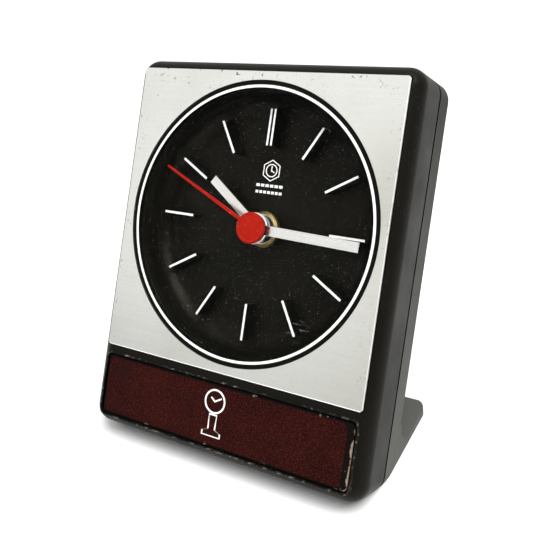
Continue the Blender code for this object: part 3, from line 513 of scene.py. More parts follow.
def brushed_plate():
    """Metal brushed sideways, tarnished in patches, with painted shade towards the right, painted
    highlights on two edges, and pitted on the others.
    """
    paint = Paint("brushed_plate", (0.66, 0.65, 0.62), 0.34, 1.0)
    fine = paint.noise(1, 3, 0.7, paint.stretch((40, 40, 6500)))
    broad = paint.noise(1, 3, 0.6, paint.stretch((12, 12, 1100)))
    cloud = paint.noise(34, 5, 0.62)
    grit = paint.noise(1500, 3, 0.7)
    lines = paint.maths("ADD", paint.times(fine, 0.55), paint.times(broad, 0.2))
    lines = paint.maths("ADD", lines, paint.times(grit, 0.25))
    tone = paint.mix(paint.span(lines, 0.38, 0.62), (0.655, 0.66, 0.62), (0.74, 0.745, 0.71))
    tarnish = paint.span(cloud, 0.46, 0.70, 0, 0.42)
    tone = paint.mix(tarnish, tone, (0.56, 0.55, 0.48))
    shaded = paint.times(
        paint.span(paint.axis("X"), 0.010, 0.050), paint.span(paint.axis("Z"), 0.0, -0.05), 0.45
    )
    tone = paint.mix(shaded, tone, (0.52, 0.505, 0.44))
    # painted shade: a broad darker patch by the right edge, following the brushing
    right_edge_shade = paint.times(paint.near((47, 14), 4, 26), paint.span(lines, 0.4, 0.6, 0.35, 0.75))
    tone = paint.mix(right_edge_shade, tone, (0.50, 0.485, 0.42))
    # painted highlight: a near white, less metallic line along the plate's bottom and right edges, where
    # the edge catches the light
    edge = paint.most(
        paint.span(paint.axis("Z"), -0.04765, -0.04775),
        paint.span(paint.axis("X"), 0.0477, 0.0478, 0, 0.6),
    )
    tone = paint.mix(edge, tone, (0.97, 0.97, 0.95))
    top = paint.span(paint.axis("Z"), 0.040, 0.0482)
    sides = paint.span(paint.maths("ABSOLUTE", paint.axis("X")), 0.0435, 0.0482, 0, 0.55)
    worn = paint.most(top, sides, paint.near((-44, 42), 2, 6), paint.near((-32, 44), 1.5, 5))
    pits = paint.span(paint.noise(820, 3, 0.7), 0.59, 0.61)
    clumps = paint.span(paint.noise(170, 2, 0.6), 0.52, 0.58)
    pits = paint.times(pits, paint.maths("ADD", paint.times(worn, clumps), 0.04))
    nick = paint.noise(1, 2, 0.5, paint.stretch((230, 230, 3600), (0, 0.85, 0)))
    nick = paint.times(paint.span(nick, 0.70, 0.72), paint.near((-14, -45.5), 3, 8), 0.7)
    marks = paint.most(pits, nick)
    paint.set("Base Color", paint.mix(marks, tone, (0.03, 0.027, 0.02)))
    # the painted edge highlight and the pits are made less metallic
    paint.set("Metallic", paint.span(paint.most(marks, edge), 0, 1, 1.0, 0.2))
    rough = paint.span(lines, 0.3, 0.7, 0.28, 0.40)
    paint.set("Roughness", paint.maths("ADD", rough, paint.times(marks, 0.2)))
    paint.relief(lines, 0.006)
    paint.relief(marks, -0.03)
    return paint.material


def satin_metal(name, low, high, roughness, relief=0.006, hub=None):
    """Drawn metal. `hub` is a hand's (hub radius, half blade width, rim highlight tone), with a painted
    highlight on its rim and painted shade inside it.
    """
    paint = Paint(name, low, roughness, 1.0)
    lines = paint.noise(1, 3, 0.6, paint.stretch((3000, 3000, 60)))
    dots = paint.span(paint.noise(1500, 2, 0.7), 0.68, 0.72, 0, 0.3)
    tone = paint.mix(paint.span(lines, 0.3, 0.7), low, high)
    tone = paint.mix(dots, tone, tuple(v * 0.3 for v in low))
    rough = paint.span(lines, 0.3, 0.7, roughness - 0.05, roughness + 0.08)
    if hub:
        radius, half_width, rim_highlight_tone = hub
        beside = paint.span(
            paint.maths("ABSOLUTE", paint.axis("X")), half_width * MM, (half_width + 0.05) * MM
        )
        # painted shade: the hub's face is made near black inside its rim; painted highlight: the rim
        # gets a bright tone that is not metallic
        painted_hub_shade = paint.times(beside, paint.near((0, 0), radius - 0.45, radius - 0.38))
        rim = paint.times(beside, paint.near((0, 0), radius + 0.1, radius + 0.2))
        tone = paint.mix(painted_hub_shade, paint.mix(rim, tone, rim_highlight_tone), (0.035, 0.033, 0.030))
        paint.set("Metallic", paint.span(rim, 0, 1, 1.0, 0.0))
    paint.set("Base Color", tone)
    paint.set("Roughness", rough)
    paint.relief(lines, relief)
    return paint.material


def nut_brass():
    """Stained brass with a thin bright ring where the nut's rim catches the light."""
    paint = Paint("nut_brass", (0.20, 0.155, 0.06), 0.34, 1.0)
    lines = paint.noise(1, 3, 0.6, paint.stretch((2600, 90, 2600)))
    stain = paint.noise(520, 4, 0.65)
    tone = paint.mix(paint.span(lines, 0.3, 0.7), (0.15, 0.115, 0.045), (0.23, 0.18, 0.075))
    tone = paint.mix(paint.span(stain, 0.5, 0.75, 0, 0.5), tone, (0.09, 0.065, 0.03))
    beyond = paint.span(paint.near(HAND_AXIS, 4.5, 4.56), 0, 1, 1, 0)
    edge = paint.times(beyond, paint.near(HAND_AXIS, 4.9, 4.97))
    paint.set("Base Color", paint.mix(edge, tone, (0.78, 0.69, 0.46)))
    paint.set("Roughness", paint.span(stain, 0.3, 0.7, 0.40, 0.56))
    paint.relief(lines, 0.004)
    return paint.material


def enamel(name, low, high, roughness=0.4, specks=(0.05, 0.05, 0.05), amount=0.5, shine=0.5):
    """A smooth coat between two tones, with specks."""
    paint = Paint(name, low, roughness, Specular_IOR_Level=shine)
    cloud = paint.noise(420, 4, 0.6)
    dots = paint.span(paint.noise(2400, 2, 0.7), 0.70, 0.73, 0, amount)
    tone = paint.mix(paint.span(cloud, 0.3, 0.7), low, high)
    paint.set("Base Color", paint.mix(dots, tone, specks))
    paint.set("Roughness", paint.span(cloud, 0.3, 0.7, roughness - 0.06, roughness + 0.1))
    paint.relief(paint.noise(1600, 3, 0.6), 0.012)
    return paint.material


def dial_black():
    paint = Paint(
        "dial_black", (0.003, 0.003, 0.002), 0.33, Specular_IOR_Level=0.062,
        Specular_Tint=(1.0, 0.96, 0.82, 1),
    )
    cloud = paint.noise(60, 4, 0.6)
    dust = paint.span(paint.noise(1500, 2, 0.8), 0.71, 0.745, 0, 0.5)
    low = paint.span(paint.axis("Z"), 0.005, -0.03, 0.35, 1.0)
    tone = paint.mix(paint.span(cloud, 0.35, 0.7), (0.0022, 0.0021, 0.0012), (0.0042, 0.0040, 0.0024))
    paint.set("Base Color", paint.mix(paint.times(dust, low), tone, (0.16, 0.155, 0.15)))
    paint.set("Roughness", paint.span(cloud, 0.3, 0.7, 0.28, 0.35))
    paint.relief(paint.noise(5200, 2, 0.6), 0.003)
    return paint.material


def leather():
    """Dark red-brown hide: grain and fibres, a painted shadow in the crease round it, rubbed edges and a
    bare cut end.
    """
    paint = Paint("strip_leather", (0.05, 0.010, 0.008), 0.7, Specular_IOR_Level=0.04)
    pores = paint.cells(2100, feature="DISTANCE_TO_EDGE")
    grain = paint.noise(2300, 4, 0.75)
    fibres = paint.noise(1, 4, 0.75, paint.stretch((1500, 1500, 3400), (0, 0.3, 0)))
    cloud = paint.noise(62, 5, 0.65)
    rubbed = paint.noise(150, 4, 0.7)
    tone = paint.mix(paint.span(cloud, 0.36, 0.66), (0.012, 0.0018, 0.0014), (0.028, 0.0034, 0.0023))
    tone = paint.mix(paint.span(grain, 0.46, 0.57, 0, 0.85), tone, (0.007, 0.0018, 0.0017))
    tone = paint.mix(paint.span(fibres, 0.53, 0.63, 0, 0.85), tone, (0.110, 0.017, 0.010))
    ragged = paint.noise(330, 4, 0.75)
    smudge = paint.times(paint.near((-39.5, -56.5), 0.5, 6), paint.span(ragged, 0.3, 0.6, 0.2, 0.8))
    tone = paint.mix(smudge, tone, (0.012, 0.0045, 0.0045))
    # painted shadow: a ragged dark band round the leather's edge, where it meets the pocket's lip
    border = paint.border((-46.35, 44.8, -71.25, -51.8), 2.2)
    crease = paint.maths("ADD", border, paint.times(ragged, -0.0009))
    crease = paint.span(crease, -0.0002, 0.0001, 1, 0)
    tone = paint.mix(crease, tone, (0.0045, 0.003, 0.003))
    outer = paint.border((-50, 46.5, -71.45, -45), 1.6)
    outer = paint.maths("ADD", outer, paint.times(ragged, -0.0026))
    right = paint.span(paint.axis("X"), 0.0425, 0.0440)
    below = paint.span(paint.axis("Z"), -0.0530, -0.0545)
    cut_edge = paint.times(paint.span(outer, -0.0012, -0.0010, 1, 0), right, below)
    spots = [
        paint.near(place, inner, outer) for place, inner, outer in (
            ((-21, -51.8), 0.3, 2.0), ((-7, -51.7), 0.3, 1.7), ((12, -51.7), 0.3, 2.0),
            ((-3, -71.2), 0.3, 1.6), ((19, -71.2), 0.3, 2.2), ((44.5, -71), 0.5, 2.5),
        )
    ]
    rubbed = paint.maths("ADD", rubbed, paint.times(paint.most(*spots), 0.14))
    worn = paint.times(paint.span(border, 0.0003, 0.0012, 1, 0), paint.span(rubbed, 0.63, 0.69))
    bare = paint.most(cut_edge, paint.times(worn, 0.8))
    paint.set("Base Color", paint.mix(bare, tone, (0.30, 0.225, 0.16)))
    paint.set("Roughness", paint.span(grain, 0.3, 0.7, 0.62, 0.82))
    paint.relief(paint.span(pores, 0, 0.25), 0.025)
    paint.relief(grain, 0.10)
    paint.relief(fibres, 0.07)
    return paint.material


def rubber(name):
    paint = Paint(name, (0.016, 0.016, 0.016), 0.85)
    cloud = paint.noise(700, 4, 0.6)
    paint.set("Base Color", paint.mix(cloud, (0.010, 0.010, 0.010), (0.035, 0.034, 0.032)))
    paint.set("Roughness", paint.span(cloud, 0.3, 0.7, 0.78, 0.95))
    paint.relief(paint.noise(2400, 3, 0.6), 0.03)
    return paint.material


def clear_lens():
    """Clear all over but for a scratched patch and dust, which show as haze."""
    paint = Paint("lens_clear", (0.85, 0.86, 0.86), 0.08)
    scratch = paint.noise(1, 2, 0.5, paint.stretch((120, 120, 3600), (0, 1.05, 0)))
    scratch = paint.times(paint.span(scratch, 0.67, 0.70, 0, 0.35), paint.near((22.5, -29.5), 1.5, 5))
    dust = paint.span(paint.noise(2100, 2, 0.8), 0.72, 0.74, 0, 0.3)
    haze = paint.most(scratch, dust)
    paint.set("Alpha", paint.maths("ADD", haze, 0.0008))
    paint.set("Roughness", paint.span(haze, 0, 0.5, 0.06, 0.4))
    return paint.material


CASE_BLACK = (0.0050, 0.0047, 0.0034)
# painted light: the rear cover's lighter tone towards the foot, standing in for floor bounce
COVER_FLOOR_BOUNCE_TONE = (0.095, 0.095, 0.086)
CASE_PLASTIC = moulded_plastic(
    "case_plastic", CASE_BLACK, 0.38, 0.03, 0.5, 0.07, lip=True, upright=True
)
KNOB_PLASTIC = moulded_plastic("knob_plastic", CASE_BLACK, 0.38, 0.03, 0.5, 0.085)
COVER_PLASTIC = moulded_plastic(
    "cover_plastic", (0.024, 0.024, 0.021), 0.5, 0.04, 0.5, 0.04, low=COVER_FLOOR_BOUNCE_TONE, upright=True
)
DOOR_PLASTIC = moulded_plastic("door_plastic", (0.055, 0.055, 0.049), 0.5, 0.04, 0.5, 0.05)
INNER_PLASTIC = moulded_plastic("movement_plastic", (0.028, 0.029, 0.031), 0.38, 0.015, 0.1, 0.17)
PLATE = brushed_plate()
# the third hub value of each hand is the tone of the painted highlight on the hub's rim
HOUR_SILVER = satin_metal(
    "hour_silver", (0.62, 0.605, 0.575), (0.80, 0.785, 0.75), 0.30, relief=0.003,
    hub=(HOUR_HUB, HOUR_WIDTH / 2, (0.42, 0.42, 0.41)),
)
MINUTE_SILVER = satin_metal(
    "minute_silver", (0.60, 0.595, 0.57), (0.73, 0.725, 0.70), 0.25, relief=0.0015,
    hub=(MINUTE_HUB, MINUTE_WIDTH / 2, (0.95, 0.94, 0.92)),
)
FIN_WHITE = enamel("fin_white", (0.86, 0.86, 0.84), (0.95, 0.95, 0.93), 0.45)
PRINT_WHITE = enamel("print_white", (0.84, 0.84, 0.82), (0.94, 0.94, 0.92), 0.5)
RED = enamel(
    "signal_red", (0.29, 0.008, 0.002), (0.34, 0.010, 0.004), 0.45, (0.6, 0.2, 0.15), 0.25, 0.05
)
BRASS = satin_metal("brass", (0.50, 0.37, 0.13), (0.66, 0.50, 0.21), 0.3)
NUT_BRASS = nut_brass()
STEEL = satin_metal("steel", (0.42, 0.42, 0.41), (0.62, 0.62, 0.60), 0.3)
GILT = satin_metal("gilt_strip", (0.52, 0.45, 0.27), (0.70, 0.61, 0.38), 0.28)
COPPER = satin_metal("copper_wire", (0.38, 0.12, 0.04), (0.60, 0.22, 0.08), 0.3, relief=0.05)
NYLON = enamel("nylon", (0.60, 0.57, 0.48), (0.68, 0.65, 0.56), 0.5)
BOARD = enamel("board_green", (0.02, 0.10, 0.035), (0.035, 0.15, 0.05), 0.35, (0.5, 0.4, 0.15), 0.8)
CHIP = enamel("chip_resin", (0.012, 0.012, 0.013), (0.025, 0.025, 0.026), 0.5)
SLEEVE = enamel("cell_sleeve", (0.10, 0.16, 0.24), (0.14, 0.21, 0.30), 0.3)
DIAL = dial_black()
LEATHER = leather()
RUBBER = rubber("pad_rubber")
LENS = clear_lens()


# ---- case ----
def seats():
    """The hollows in the case's front for the face plate and for the leather strip."""
    half = PLATE_HALF + GAP
    bm = prism(rounded_rectangle(-half, half, -half, half, 1.0, 4), -1, 0.9)
    add_prism(bm, strip_outline(0.6), -1, 1.0)
    return bm


def strip_outline(margin):
    return rounded_rectangle(
        -STRIP_HALF_WIDTH - margin, STRIP_HALF_WIDTH + margin, STRIP_BOTTOM - margin,
        STRIP_TOP + margin, 1.2 + margin, 8,
    )


def front_shell():
    """The front half: rounded round the face, hollow behind it, with posts for the screws."""
    sections = [(depth, case_outline(inset)) for inset, depth in rounding(FRONT_ROUND, 12)]
    sections += [(SEAM - 0.28, case_outline(0)), (SEAM - 0.22, case_outline(SEAM_GROOVE / 2))]
    sections.append((SEAM, case_outline(SEAM_GROOVE)))
    shell = draw(loft(sections), "case_front")
    cut(shell, box(*UNDER_GROUND), STANDING)
    cavity = loft([(FRONT_WALL, case_outline(WALL)), (SEAM + 1, case_outline(WALL))])
    trim_below(cavity, WALL)
    cut(shell, cavity)
    cut(shell, seats())
    cut(shell, turned(rod(LENS_RADIUS + GAP, -1, FRONT_WALL + 1), DIAL_CENTRE, 128))
    posts = rods(CASE_SCREWS, POST_RADIUS, FRONT_WALL - 0.5, SEAM - GAP)
    for place in TRAY_SCREWS:
        add_turned(posts, rod(2.6, FRONT_WALL - 0.5, 18.7), place, 24)
    join(shell, posts)
    bevel(shell, 0.16, 50)
    bake(shell)
    ridge = [(0.0, 1.0), (0.0, 0.0), (0.06, -0.2), (0.2, -0.32)]
    ridge += [(0.6 - out, depth) for out, depth in reversed(ridge)]
    merge(shell, loft_ring(ridge))
    set_upright(shell)
    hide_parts("front_shell")
    settle(shell, "case", "front_shell", CASE_PLASTIC)


def loft_ring(profile):
    """A closed ridge round the strip's pocket: (outward from the pocket, depth) swept round it."""
    bm = bmesh.new()
    rings = []
    for out, depth in profile:
        rings.append([bm.verts.new((x, depth, z)) for x, z in strip_outline(0.6 + out)])
    for ring, following in zip(rings, rings[1:] + rings[:1]):
        bridge(bm, ring, following)
    return bm


def foot_outline():
    """The foot from its side: a plate with a round end that sweeps up into the case's back."""
    wall_at_top = (CASE_DEPTH - 0.02 + FOOT_THICK * math.sin(LEAN)) / math.cos(LEAN)
    tangent = FOOT_SWEEP / math.tan(LEAN)
    sweep_centre = (wall_at_top + tangent, FOOT_THICK + FOOT_SWEEP)
    sweep = arc(sweep_centre, FOOT_SWEEP, 270, 150, 18)
    end = arc((FOOT_END - FOOT_EDGE, FOOT_EDGE), FOOT_EDGE, -90, 0, 5)
    end += arc((FOOT_END - FOOT_EDGE, FOOT_THICK - FOOT_EDGE), FOOT_EDGE, 0, 90, 5)
    inside = (sweep[-1][0] - 2.0, sweep[-1][1])
    return [(24.0, -1.0), (FOOT_END - 1.5, -1.0)] + end + sweep + [inside]


def drawn_foot():
    """The foot across the case's whole width, with its two rear corners rounded."""
    half = CASE_HALF_WIDTH - 0.03
    bm = bmesh.new()
    face = bm.faces.new([bm.verts.new((-half, *over_ground(*point))) for point in foot_outline()])
    extrude(bm, face, (2 * half, 0, 0))
    foot = draw(bm, "foot")
    corners = bmesh.new()
    for side in (-1, 1):
        x, z = side * (half - FOOT_CORNER), FOOT_END - FOOT_CORNER
        beyond_x, beyond_z = side * (half + 2), FOOT_END + 2
        outline = arc((x, z), FOOT_CORNER, 0 if side > 0 else 180, 90, 14)
        outline += [(x, beyond_z), (beyond_x, beyond_z), (beyond_x, z)]
        add_prism(corners, outline, -FOOT_THICK - 2, 4)
    cut(foot, corners, STANDING)
    return foot


def rear_cover():
    """The rear half with the foot, its screw posts, the battery opening and the pads' seats."""
    back = [(CASE_DEPTH - depth, case_outline(inset)) for inset, depth in rounding(REAR_ROUND, 6)]
    start = [(SEAM + GAP, case_outline(SEAM_GROOVE))]
    start.append((SEAM + GAP + 0.1, case_outline(SEAM_GROOVE / 2)))
    start.append((SEAM + GAP + 0.16, case_outline(0)))
    cover = draw(loft(start + back[::-1]), "case_rear")
    combine(cover, drawn_foot(), "UNION")
    cut(cover, box(*UNDER_GROUND), STANDING)
    cavity = loft([(SEAM - 1, case_outline(WALL)), (CASE_DEPTH - WALL, case_outline(WALL))])
    trim_below(cavity, WALL)
    cut(cover, cavity)
    join(cover, rods(CASE_SCREWS, POST_RADIUS, SEAM + 2 * GAP, CASE_DEPTH - WALL + 0.4))
    cut(cover, rods(CASE_SCREWS, 1.3, SEAM - 1, 22))
    cut(cover, rods(CASE_SCREWS, 2.6, 20.4, CASE_DEPTH + 1))
    half = DOOR_HALF_WIDTH + GAP
    cut(cover, box((-half, 23, DOOR_BOTTOM - GAP), (half, 28, DOOR_TOP + GAP)))
    cut(cover, turned(rod(6.2, 23, 28), SETTING, 64))
    cut(cover, rods(PADS, 4.5, -0.8, 1, 48), STANDING)
    bevel(cover, 0.16, 50)
    bake(cover)
    set_upright(cover)
    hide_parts("rear_cover")
    settle(cover, "case", "rear_cover", COVER_PLASTIC)


# ---- face ----
def face_plate():
    outline = rounded_rectangle(-PLATE_HALF, PLATE_HALF, -PLATE_HALF, PLATE_HALF, 1.0, 6)
    plate = draw(prism(outline, -0.1, 0.6), "face_plate_brushed")
    cut(plate, turned(rod(PLATE_OPENING, -2, 2), DIAL_CENTRE, 160))
    bevel(plate, 0.13)
    bake(plate)
    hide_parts("face_plate")
    settle(plate, "case", "face_plate", PLATE)


def lens():
    profile = [(0, 0.3), (LENS_RADIUS - 0.2, 0.3), (LENS_RADIUS, 0.5), (LENS_RADIUS, 2.1), (0, 2.1)]
    glass = draw(turned(profile, DIAL_CENTRE, 128), "lens_disc")
    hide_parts("lens")
    settle(glass, "case", "lens", LENS)


def printed_rings():
    """A white ring printed on the lens and a black border outside it."""
    ring = [(RING_INNER, 0.2), (RING_OUTER, 0.2), (RING_OUTER, 0.26), (RING_INNER, 0.26)]
    border = [(RING_OUTER, 0.22), (LENS_RADIUS, 0.22), (LENS_RADIUS, 0.28), (RING_OUTER, 0.28)]
    white = draw(turned(ring, DIAL_CENTRE, 160), "printed_ring")
    settle(white, "case", "lens", PRINT_WHITE)
    black = draw(turned(border, DIAL_CENTRE, 160), "printed_border")
    settle(black, "case", "lens", DIAL)


def dial():
    """The bowl with its rim under the lens, and white-topped fins at the hours, a twin one at 12."""
    sweep = (34.4, 5.0)
    inside = arc(sweep, 7.5, 0, 90, 18)
    outside = arc(sweep, 8.9, 90, 0, 8)
    profile = [(42.9, 2.7)] + inside + [(radius, BOWL_FLOOR) for radius in (30, 20, 10, BOWL_HOLE)]
    profile += [(BOWL_HOLE, 13.9)] + outside
    profile += [(44.0, 4.8), (47.5, 4.8), (47.5, 3.3), (44.9, 3.3), (44.9, 2.5), (43.1, 2.5)]
    bowl = draw(turned(profile, DIAL_CENTRE, 144), "dial_bowl")
    cut(bowl, turned(rod(BOWL_HOLE, 10, 16), HAND_AXIS, 48))
    for hour in range(12):
        offsets = (-TWIN_FIN_OFFSET, TWIN_FIN_OFFSET) if hour == 0 else (0,)
        width = TWIN_FIN_WIDTH if hour == 0 else FIN_WIDTH
        for offset in offsets:
            merge(bowl, fin(offset, width, math.radians(30 * hour)))
            merge(bowl, fin_top(offset, width, math.radians(30 * hour)), 1)
    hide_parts("dial")
    settle(bowl, "case", "dial", DIAL, FIN_WHITE)


def fin(offset, width, angle):
    """One hour fin, drawn at twelve and turned to its hour."""
    half = width / 2
    bm = box((offset - half, FIN_FRONT, FIN_INNER), (offset + half, BOWL_FLOOR + 0.5, FIN_OUTER))
    edges = [e for e in bm.edges if all(v.co.y < 8 for v in e.verts)]
    bmesh.ops.bevel(bm, geom=edges, offset=0.1, segments=2, profile=0.5, affect="EDGES")
    turn_round(bm, angle)
    return bm


def fin_top(offset, width, angle):
    """The white front edge of an hour fin."""
    inset = 0.04
    half = width / 2 - inset
    bm = box((offset - half, 7.5, FIN_INNER + inset), (offset + half, 7.7, FIN_OUTER - inset))
    turn_round(bm, angle)
    return bm


def turn_round(bm, angle):
    bmesh.ops.transform(bm, matrix=Matrix.Rotation(angle, 4, "Y"), verts=bm.verts[:])
    bmesh.ops.translate(bm, verts=bm.verts[:], vec=(DIAL_CENTRE[0], 0, DIAL_CENTRE[1]))


# ---- hands ----
def hand(name, node, body, angle, paint, width, tip, length, near, far, hub, bore):
    """A flat blade from `width` to `tip` on a round hub, bored from behind, drawn at twelve."""
    turn = at(*HAND_AXIS) @ clockwise(angle)
    blade = [(-width / 2, 0), (width / 2, 0), (tip / 2, length), (-tip / 2, length)]
    item = draw(turned(rod(hub, near, far), segments=64), name, turn)
    join(item, prism(blade, near, far), turn)
    cut(item, turned(rod(*bore), segments=32), turn)
    bevel(item, 0.1)
    bake(item)
    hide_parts(node)
    settle(item, body, node, paint)


def hands():
    hand(
        "hour_hand_satin", "hour_hand", "hour_train", HOUR_ANGLE, HOUR_SILVER,
        width=HOUR_WIDTH, tip=HOUR_WIDTH, length=24.3, near=7.6, far=8.0, hub=HOUR_HUB,
        bore=(2.1, 7, 9),
    )
    hand(
        "minute_hand_bright", "minute_hand", "minute_train", MINUTE_ANGLE, MINUTE_SILVER,
        width=MINUTE_WIDTH, tip=MINUTE_WIDTH, length=37.0, near=5.3, far=5.7, hub=MINUTE_HUB,
        bore=(1.3, 5, 7),
    )
    hand(
        "second_hand_red", "second_hand", "second_train", SECOND_ANGLE, RED,
        width=1.3, tip=0.7, length=40.6, near=4.4, far=4.9, hub=2.6, bore=(0.6, 4.65, 6),
    )


def cap_and_nut():
    """The red cap over the hands, and the ring nut that holds the dial behind them."""
    rim = arc((4.6, 3.2), 0.45, -75, 0, 6)
    profile = [(0, 2.86), (2.0, 2.87), (3.85, 2.87), (3.95, 2.90), (4.05, 2.86), (4.3, 2.77)]
    profile += rim + [(5.05, 4.0), (4.95, 4.1), (0, 4.1)]
    cap = draw(turned(profile, segments=96), "second_hand_cap_red", at(*HAND_AXIS))
    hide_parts("second_hand_cap")
    settle(cap, "second_train", "second_hand_cap", RED)

    nut = [(4.1, 10.85), (4.5, 10.38), (4.56, 10.3), (4.94, 10.3), (5.02, 10.37), (5.72, 10.85)]
    nut += [(5.8, 10.95), (5.8, 11.5), (4.1, 11.5)]
    ring = draw(turned(nut, HAND_AXIS, 96), "centre_nut_brass")
    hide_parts("centre_nut")
    settle(ring, "case", "centre_nut", NUT_BRASS)


# ---- strip ----
def strip_point(u, v):
    """A place on the leather for u and v from -1 to 1: x, z, front depth and the edge's fray."""
    top, bottom, half = STRIP_TOP - 0.05, STRIP_BOTTOM + 0.05, STRIP_HALF_WIDTH - 0.05
    middle = (top + bottom) / 2
    x = math.copysign(abs(u) ** 0.9, u) * half
    z = middle + math.copysign(abs(v) ** 0.85, v) * (top - bottom) / 2
    edge_x = half - abs(x)
    edge_z = min(top - z, z - bottom)
    if edge_x < PAD_CORNER and edge_z < PAD_CORNER:
        reach = math.hypot(PAD_CORNER - edge_x, PAD_CORNER - edge_z)
        if reach > PAD_CORNER:
            pull = PAD_CORNER / reach
            edge_x = PAD_CORNER - (PAD_CORNER - edge_x) * pull
            edge_z = PAD_CORNER - (PAD_CORNER - edge_z) * pull
            x = math.copysign(half - edge_x, x)
            z = top - edge_z if z > middle else bottom + edge_z
    border = min(edge_x, edge_z)
    ease = min(max(border / 1.1, 0), 1)
    crown = 0.30 * (1 - (1 - ease) ** 2)
    crease = -0.10 * math.exp(-((border - 1.5) / 0.35) ** 2)
    wave = 0.07 * noise.noise(Vector((x * 0.12, 3.0, z * 0.2)))
    wave += 0.035 * noise.noise(Vector((x * 0.7, 7.0, z * 0.8)))
    depth = max(0.25 - crown - crease + wave * ease, -0.148)
    fray = 0.06 * noise.noise(Vector((x * 1.3, 0, z * 1.3))) * (1 - ease)
    return x, z, depth, fray


def strip():
    """The leather strip: a thin pad with pulled-down edges and a wavy surface."""
    columns, rows = 230, 46
    bm = bmesh.new()
    front, back = [], []
    for j in range(rows + 1):
        front.append([])
        back.append([])
        for i in range(columns + 1):
            x, z, depth, fray = strip_point(2 * i / columns - 1, 2 * j / rows - 1)
            front[-1].append(bm.verts.new((x + (fray if x < 0 else -fray), depth, z)))
            back[-1].append(bm.verts.new((x, 0.7, z)))
    for grid in (front, back):
        for row, following in zip(grid, grid[1:]):
            for i in range(columns):
                bm.faces.new((row[i], row[i + 1], following[i + 1], following[i]))
    bridge(bm, boundary(front), boundary(back))
    bmesh.ops.remove_doubles(bm, verts=bm.verts[:], dist=0.0001)
    pad = draw(bm, "leather_strip")
    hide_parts("leather_panel")
    settle(pad, "case", "leather_panel", LEATHER, sharp=60)


def boundary(grid):
    """The points round a grid, in order."""
    loop = list(grid[0])
    loop += [row[-1] for row in grid[1:]]
    loop += list(reversed(grid[-1][:-1]))
    loop += [row[0] for row in reversed(grid[1:-1])]
    return loop


# ---- back ----
def battery_door():
    """A plate with a hinge pin along its top edge and six grooves for a thumb."""
    hinge_y, hinge_z = DOOR_HINGE
    place = at(0, hinge_z, hinge_y)
    low = (-DOOR_HALF_WIDTH, 24.9 - hinge_y, DOOR_BOTTOM - hinge_z)
    high = (DOOR_HALF_WIDTH, CASE_DEPTH - hinge_y, DOOR_TOP - 0.2 - hinge_z)
    door = draw(box(low, high), "battery_door_moulded", place)
    along = Matrix.Rotation(math.radians(-90), 4, "Z")
    join(door, turned(rod(0.5, -28.2, 28.2), segments=24), place @ along)
    grooves = bmesh.new()
    for k in range(6):
        z = DOOR_BOTTOM - hinge_z + 1.4 + 0.9 * k
        add_box(grooves, (-7 + 0.5 * k, CASE_DEPTH - hinge_y - 0.35, z), (7 - 0.5 * k, 2, z + 0.4))
    cut(door, grooves, place)
    bevel(door, 0.12)
    bake(door)
    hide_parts("battery_door")
    settle(door, "door", "battery_door", DOOR_PLASTIC)


def setting_knob():
    """A ribbed knob with a dished end, bored for its arbor."""
    grip = []
    for rib in range(30):
        for share, radius in ((0.05, 5.5), (0.45, 5.5), (0.55, 5.2), (0.95, 5.2)):
            angle = math.tau * (rib + share) / 30
            grip.append((radius * math.cos(angle), radius * math.sin(angle)))
    knob = draw(prism(grip, 25.2, 29.2), "setting_knob_ribbed", at(*SETTING))
    cut(knob, turned(rod(1.2, 24, 27.7), segments=24), at(*SETTING))
    cut(knob, turned(rod(3.9, 28.9, 30), segments=48), at(*SETTING))
    bevel(knob, 0.12)
    bake(knob)
    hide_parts("setting_knob")
    settle(knob, "setting", "setting_knob", KNOB_PLASTIC)


# ---- marks ----
def dial_print():
    """A plain hexagon with a small clock in it, over two rows of dashes."""
    x, z = EMBLEM
    near, far = EMBLEM_DEPTH
    bm = bmesh.new()
    add_band(bm, ring_points(EMBLEM, 3.6, 6, math.pi / 2), 0.34, near, far)
    add_band(bm, ring_points(EMBLEM, 2.2, 20), 0.34, near, far)
    add_stroke(bm, (x, z - 0.2), 0, 1.7, 0.34, near, far)
    add_stroke(bm, EMBLEM, math.radians(120), 1.3, 0.34, near, far)
    for low, count in ((z - 5.5, 6), (z - 7.7, 7)):
        pitch = 10.4 / count
        for k in range(count):
            left = x - 5.0 + k * pitch
            add_box(bm, (left, near, low), (left + pitch - 0.45, far, low + 0.9))
    printed = draw(bm, "dial_print")
    settle(printed, "case", "dial", PRINT_WHITE)


def strip_print():
    """A plain sign of a round clock on a stand."""
    x, z = SIGN
    near, far = SIGN_DEPTH
    bm = bmesh.new()
    add_band(bm, ring_points(SIGN, 3.9, 40), 0.55, near, far)
    right_side = [(3.6, -11.2), (3.6, -9.8), (1.5, -9.0), (1.5, -4.0)]
    stand = right_side + [(-px, pz) for px, pz in reversed(right_side)]
    add_band(bm, [(x + px, z + pz) for px, pz in stand], 0.5, near, far)
    for angle, length in ((305.0, 1.9), (60.0, 2.7)):
        add_stroke(bm, SIGN, math.radians(angle), length, 0.5, near, far)
    sign = draw(bm, "strip_print")
    settle(sign, "case", "leather_panel", PRINT_WHITE)


def add_stroke(bm, start, angle, length, width, near, far):
    """A straight printed stroke from a point, clockwise from twelve."""
    verts = add_box(bm, (-width / 2, near, -width / 2), (width / 2, far, length))
    bmesh.ops.transform(bm, matrix=Matrix.Rotation(angle, 4, "Y"), verts=verts)
    bmesh.ops.translate(bm, verts=verts, vec=(start[0], 0, start[1]))


def ring_points(centre, radius, count, start=0.0):
    angles = [start + math.tau * k / count for k in range(count)]
    return [(centre[0] + radius * math.cos(a), centre[1] + radius * math.sin(a)) for a in angles]


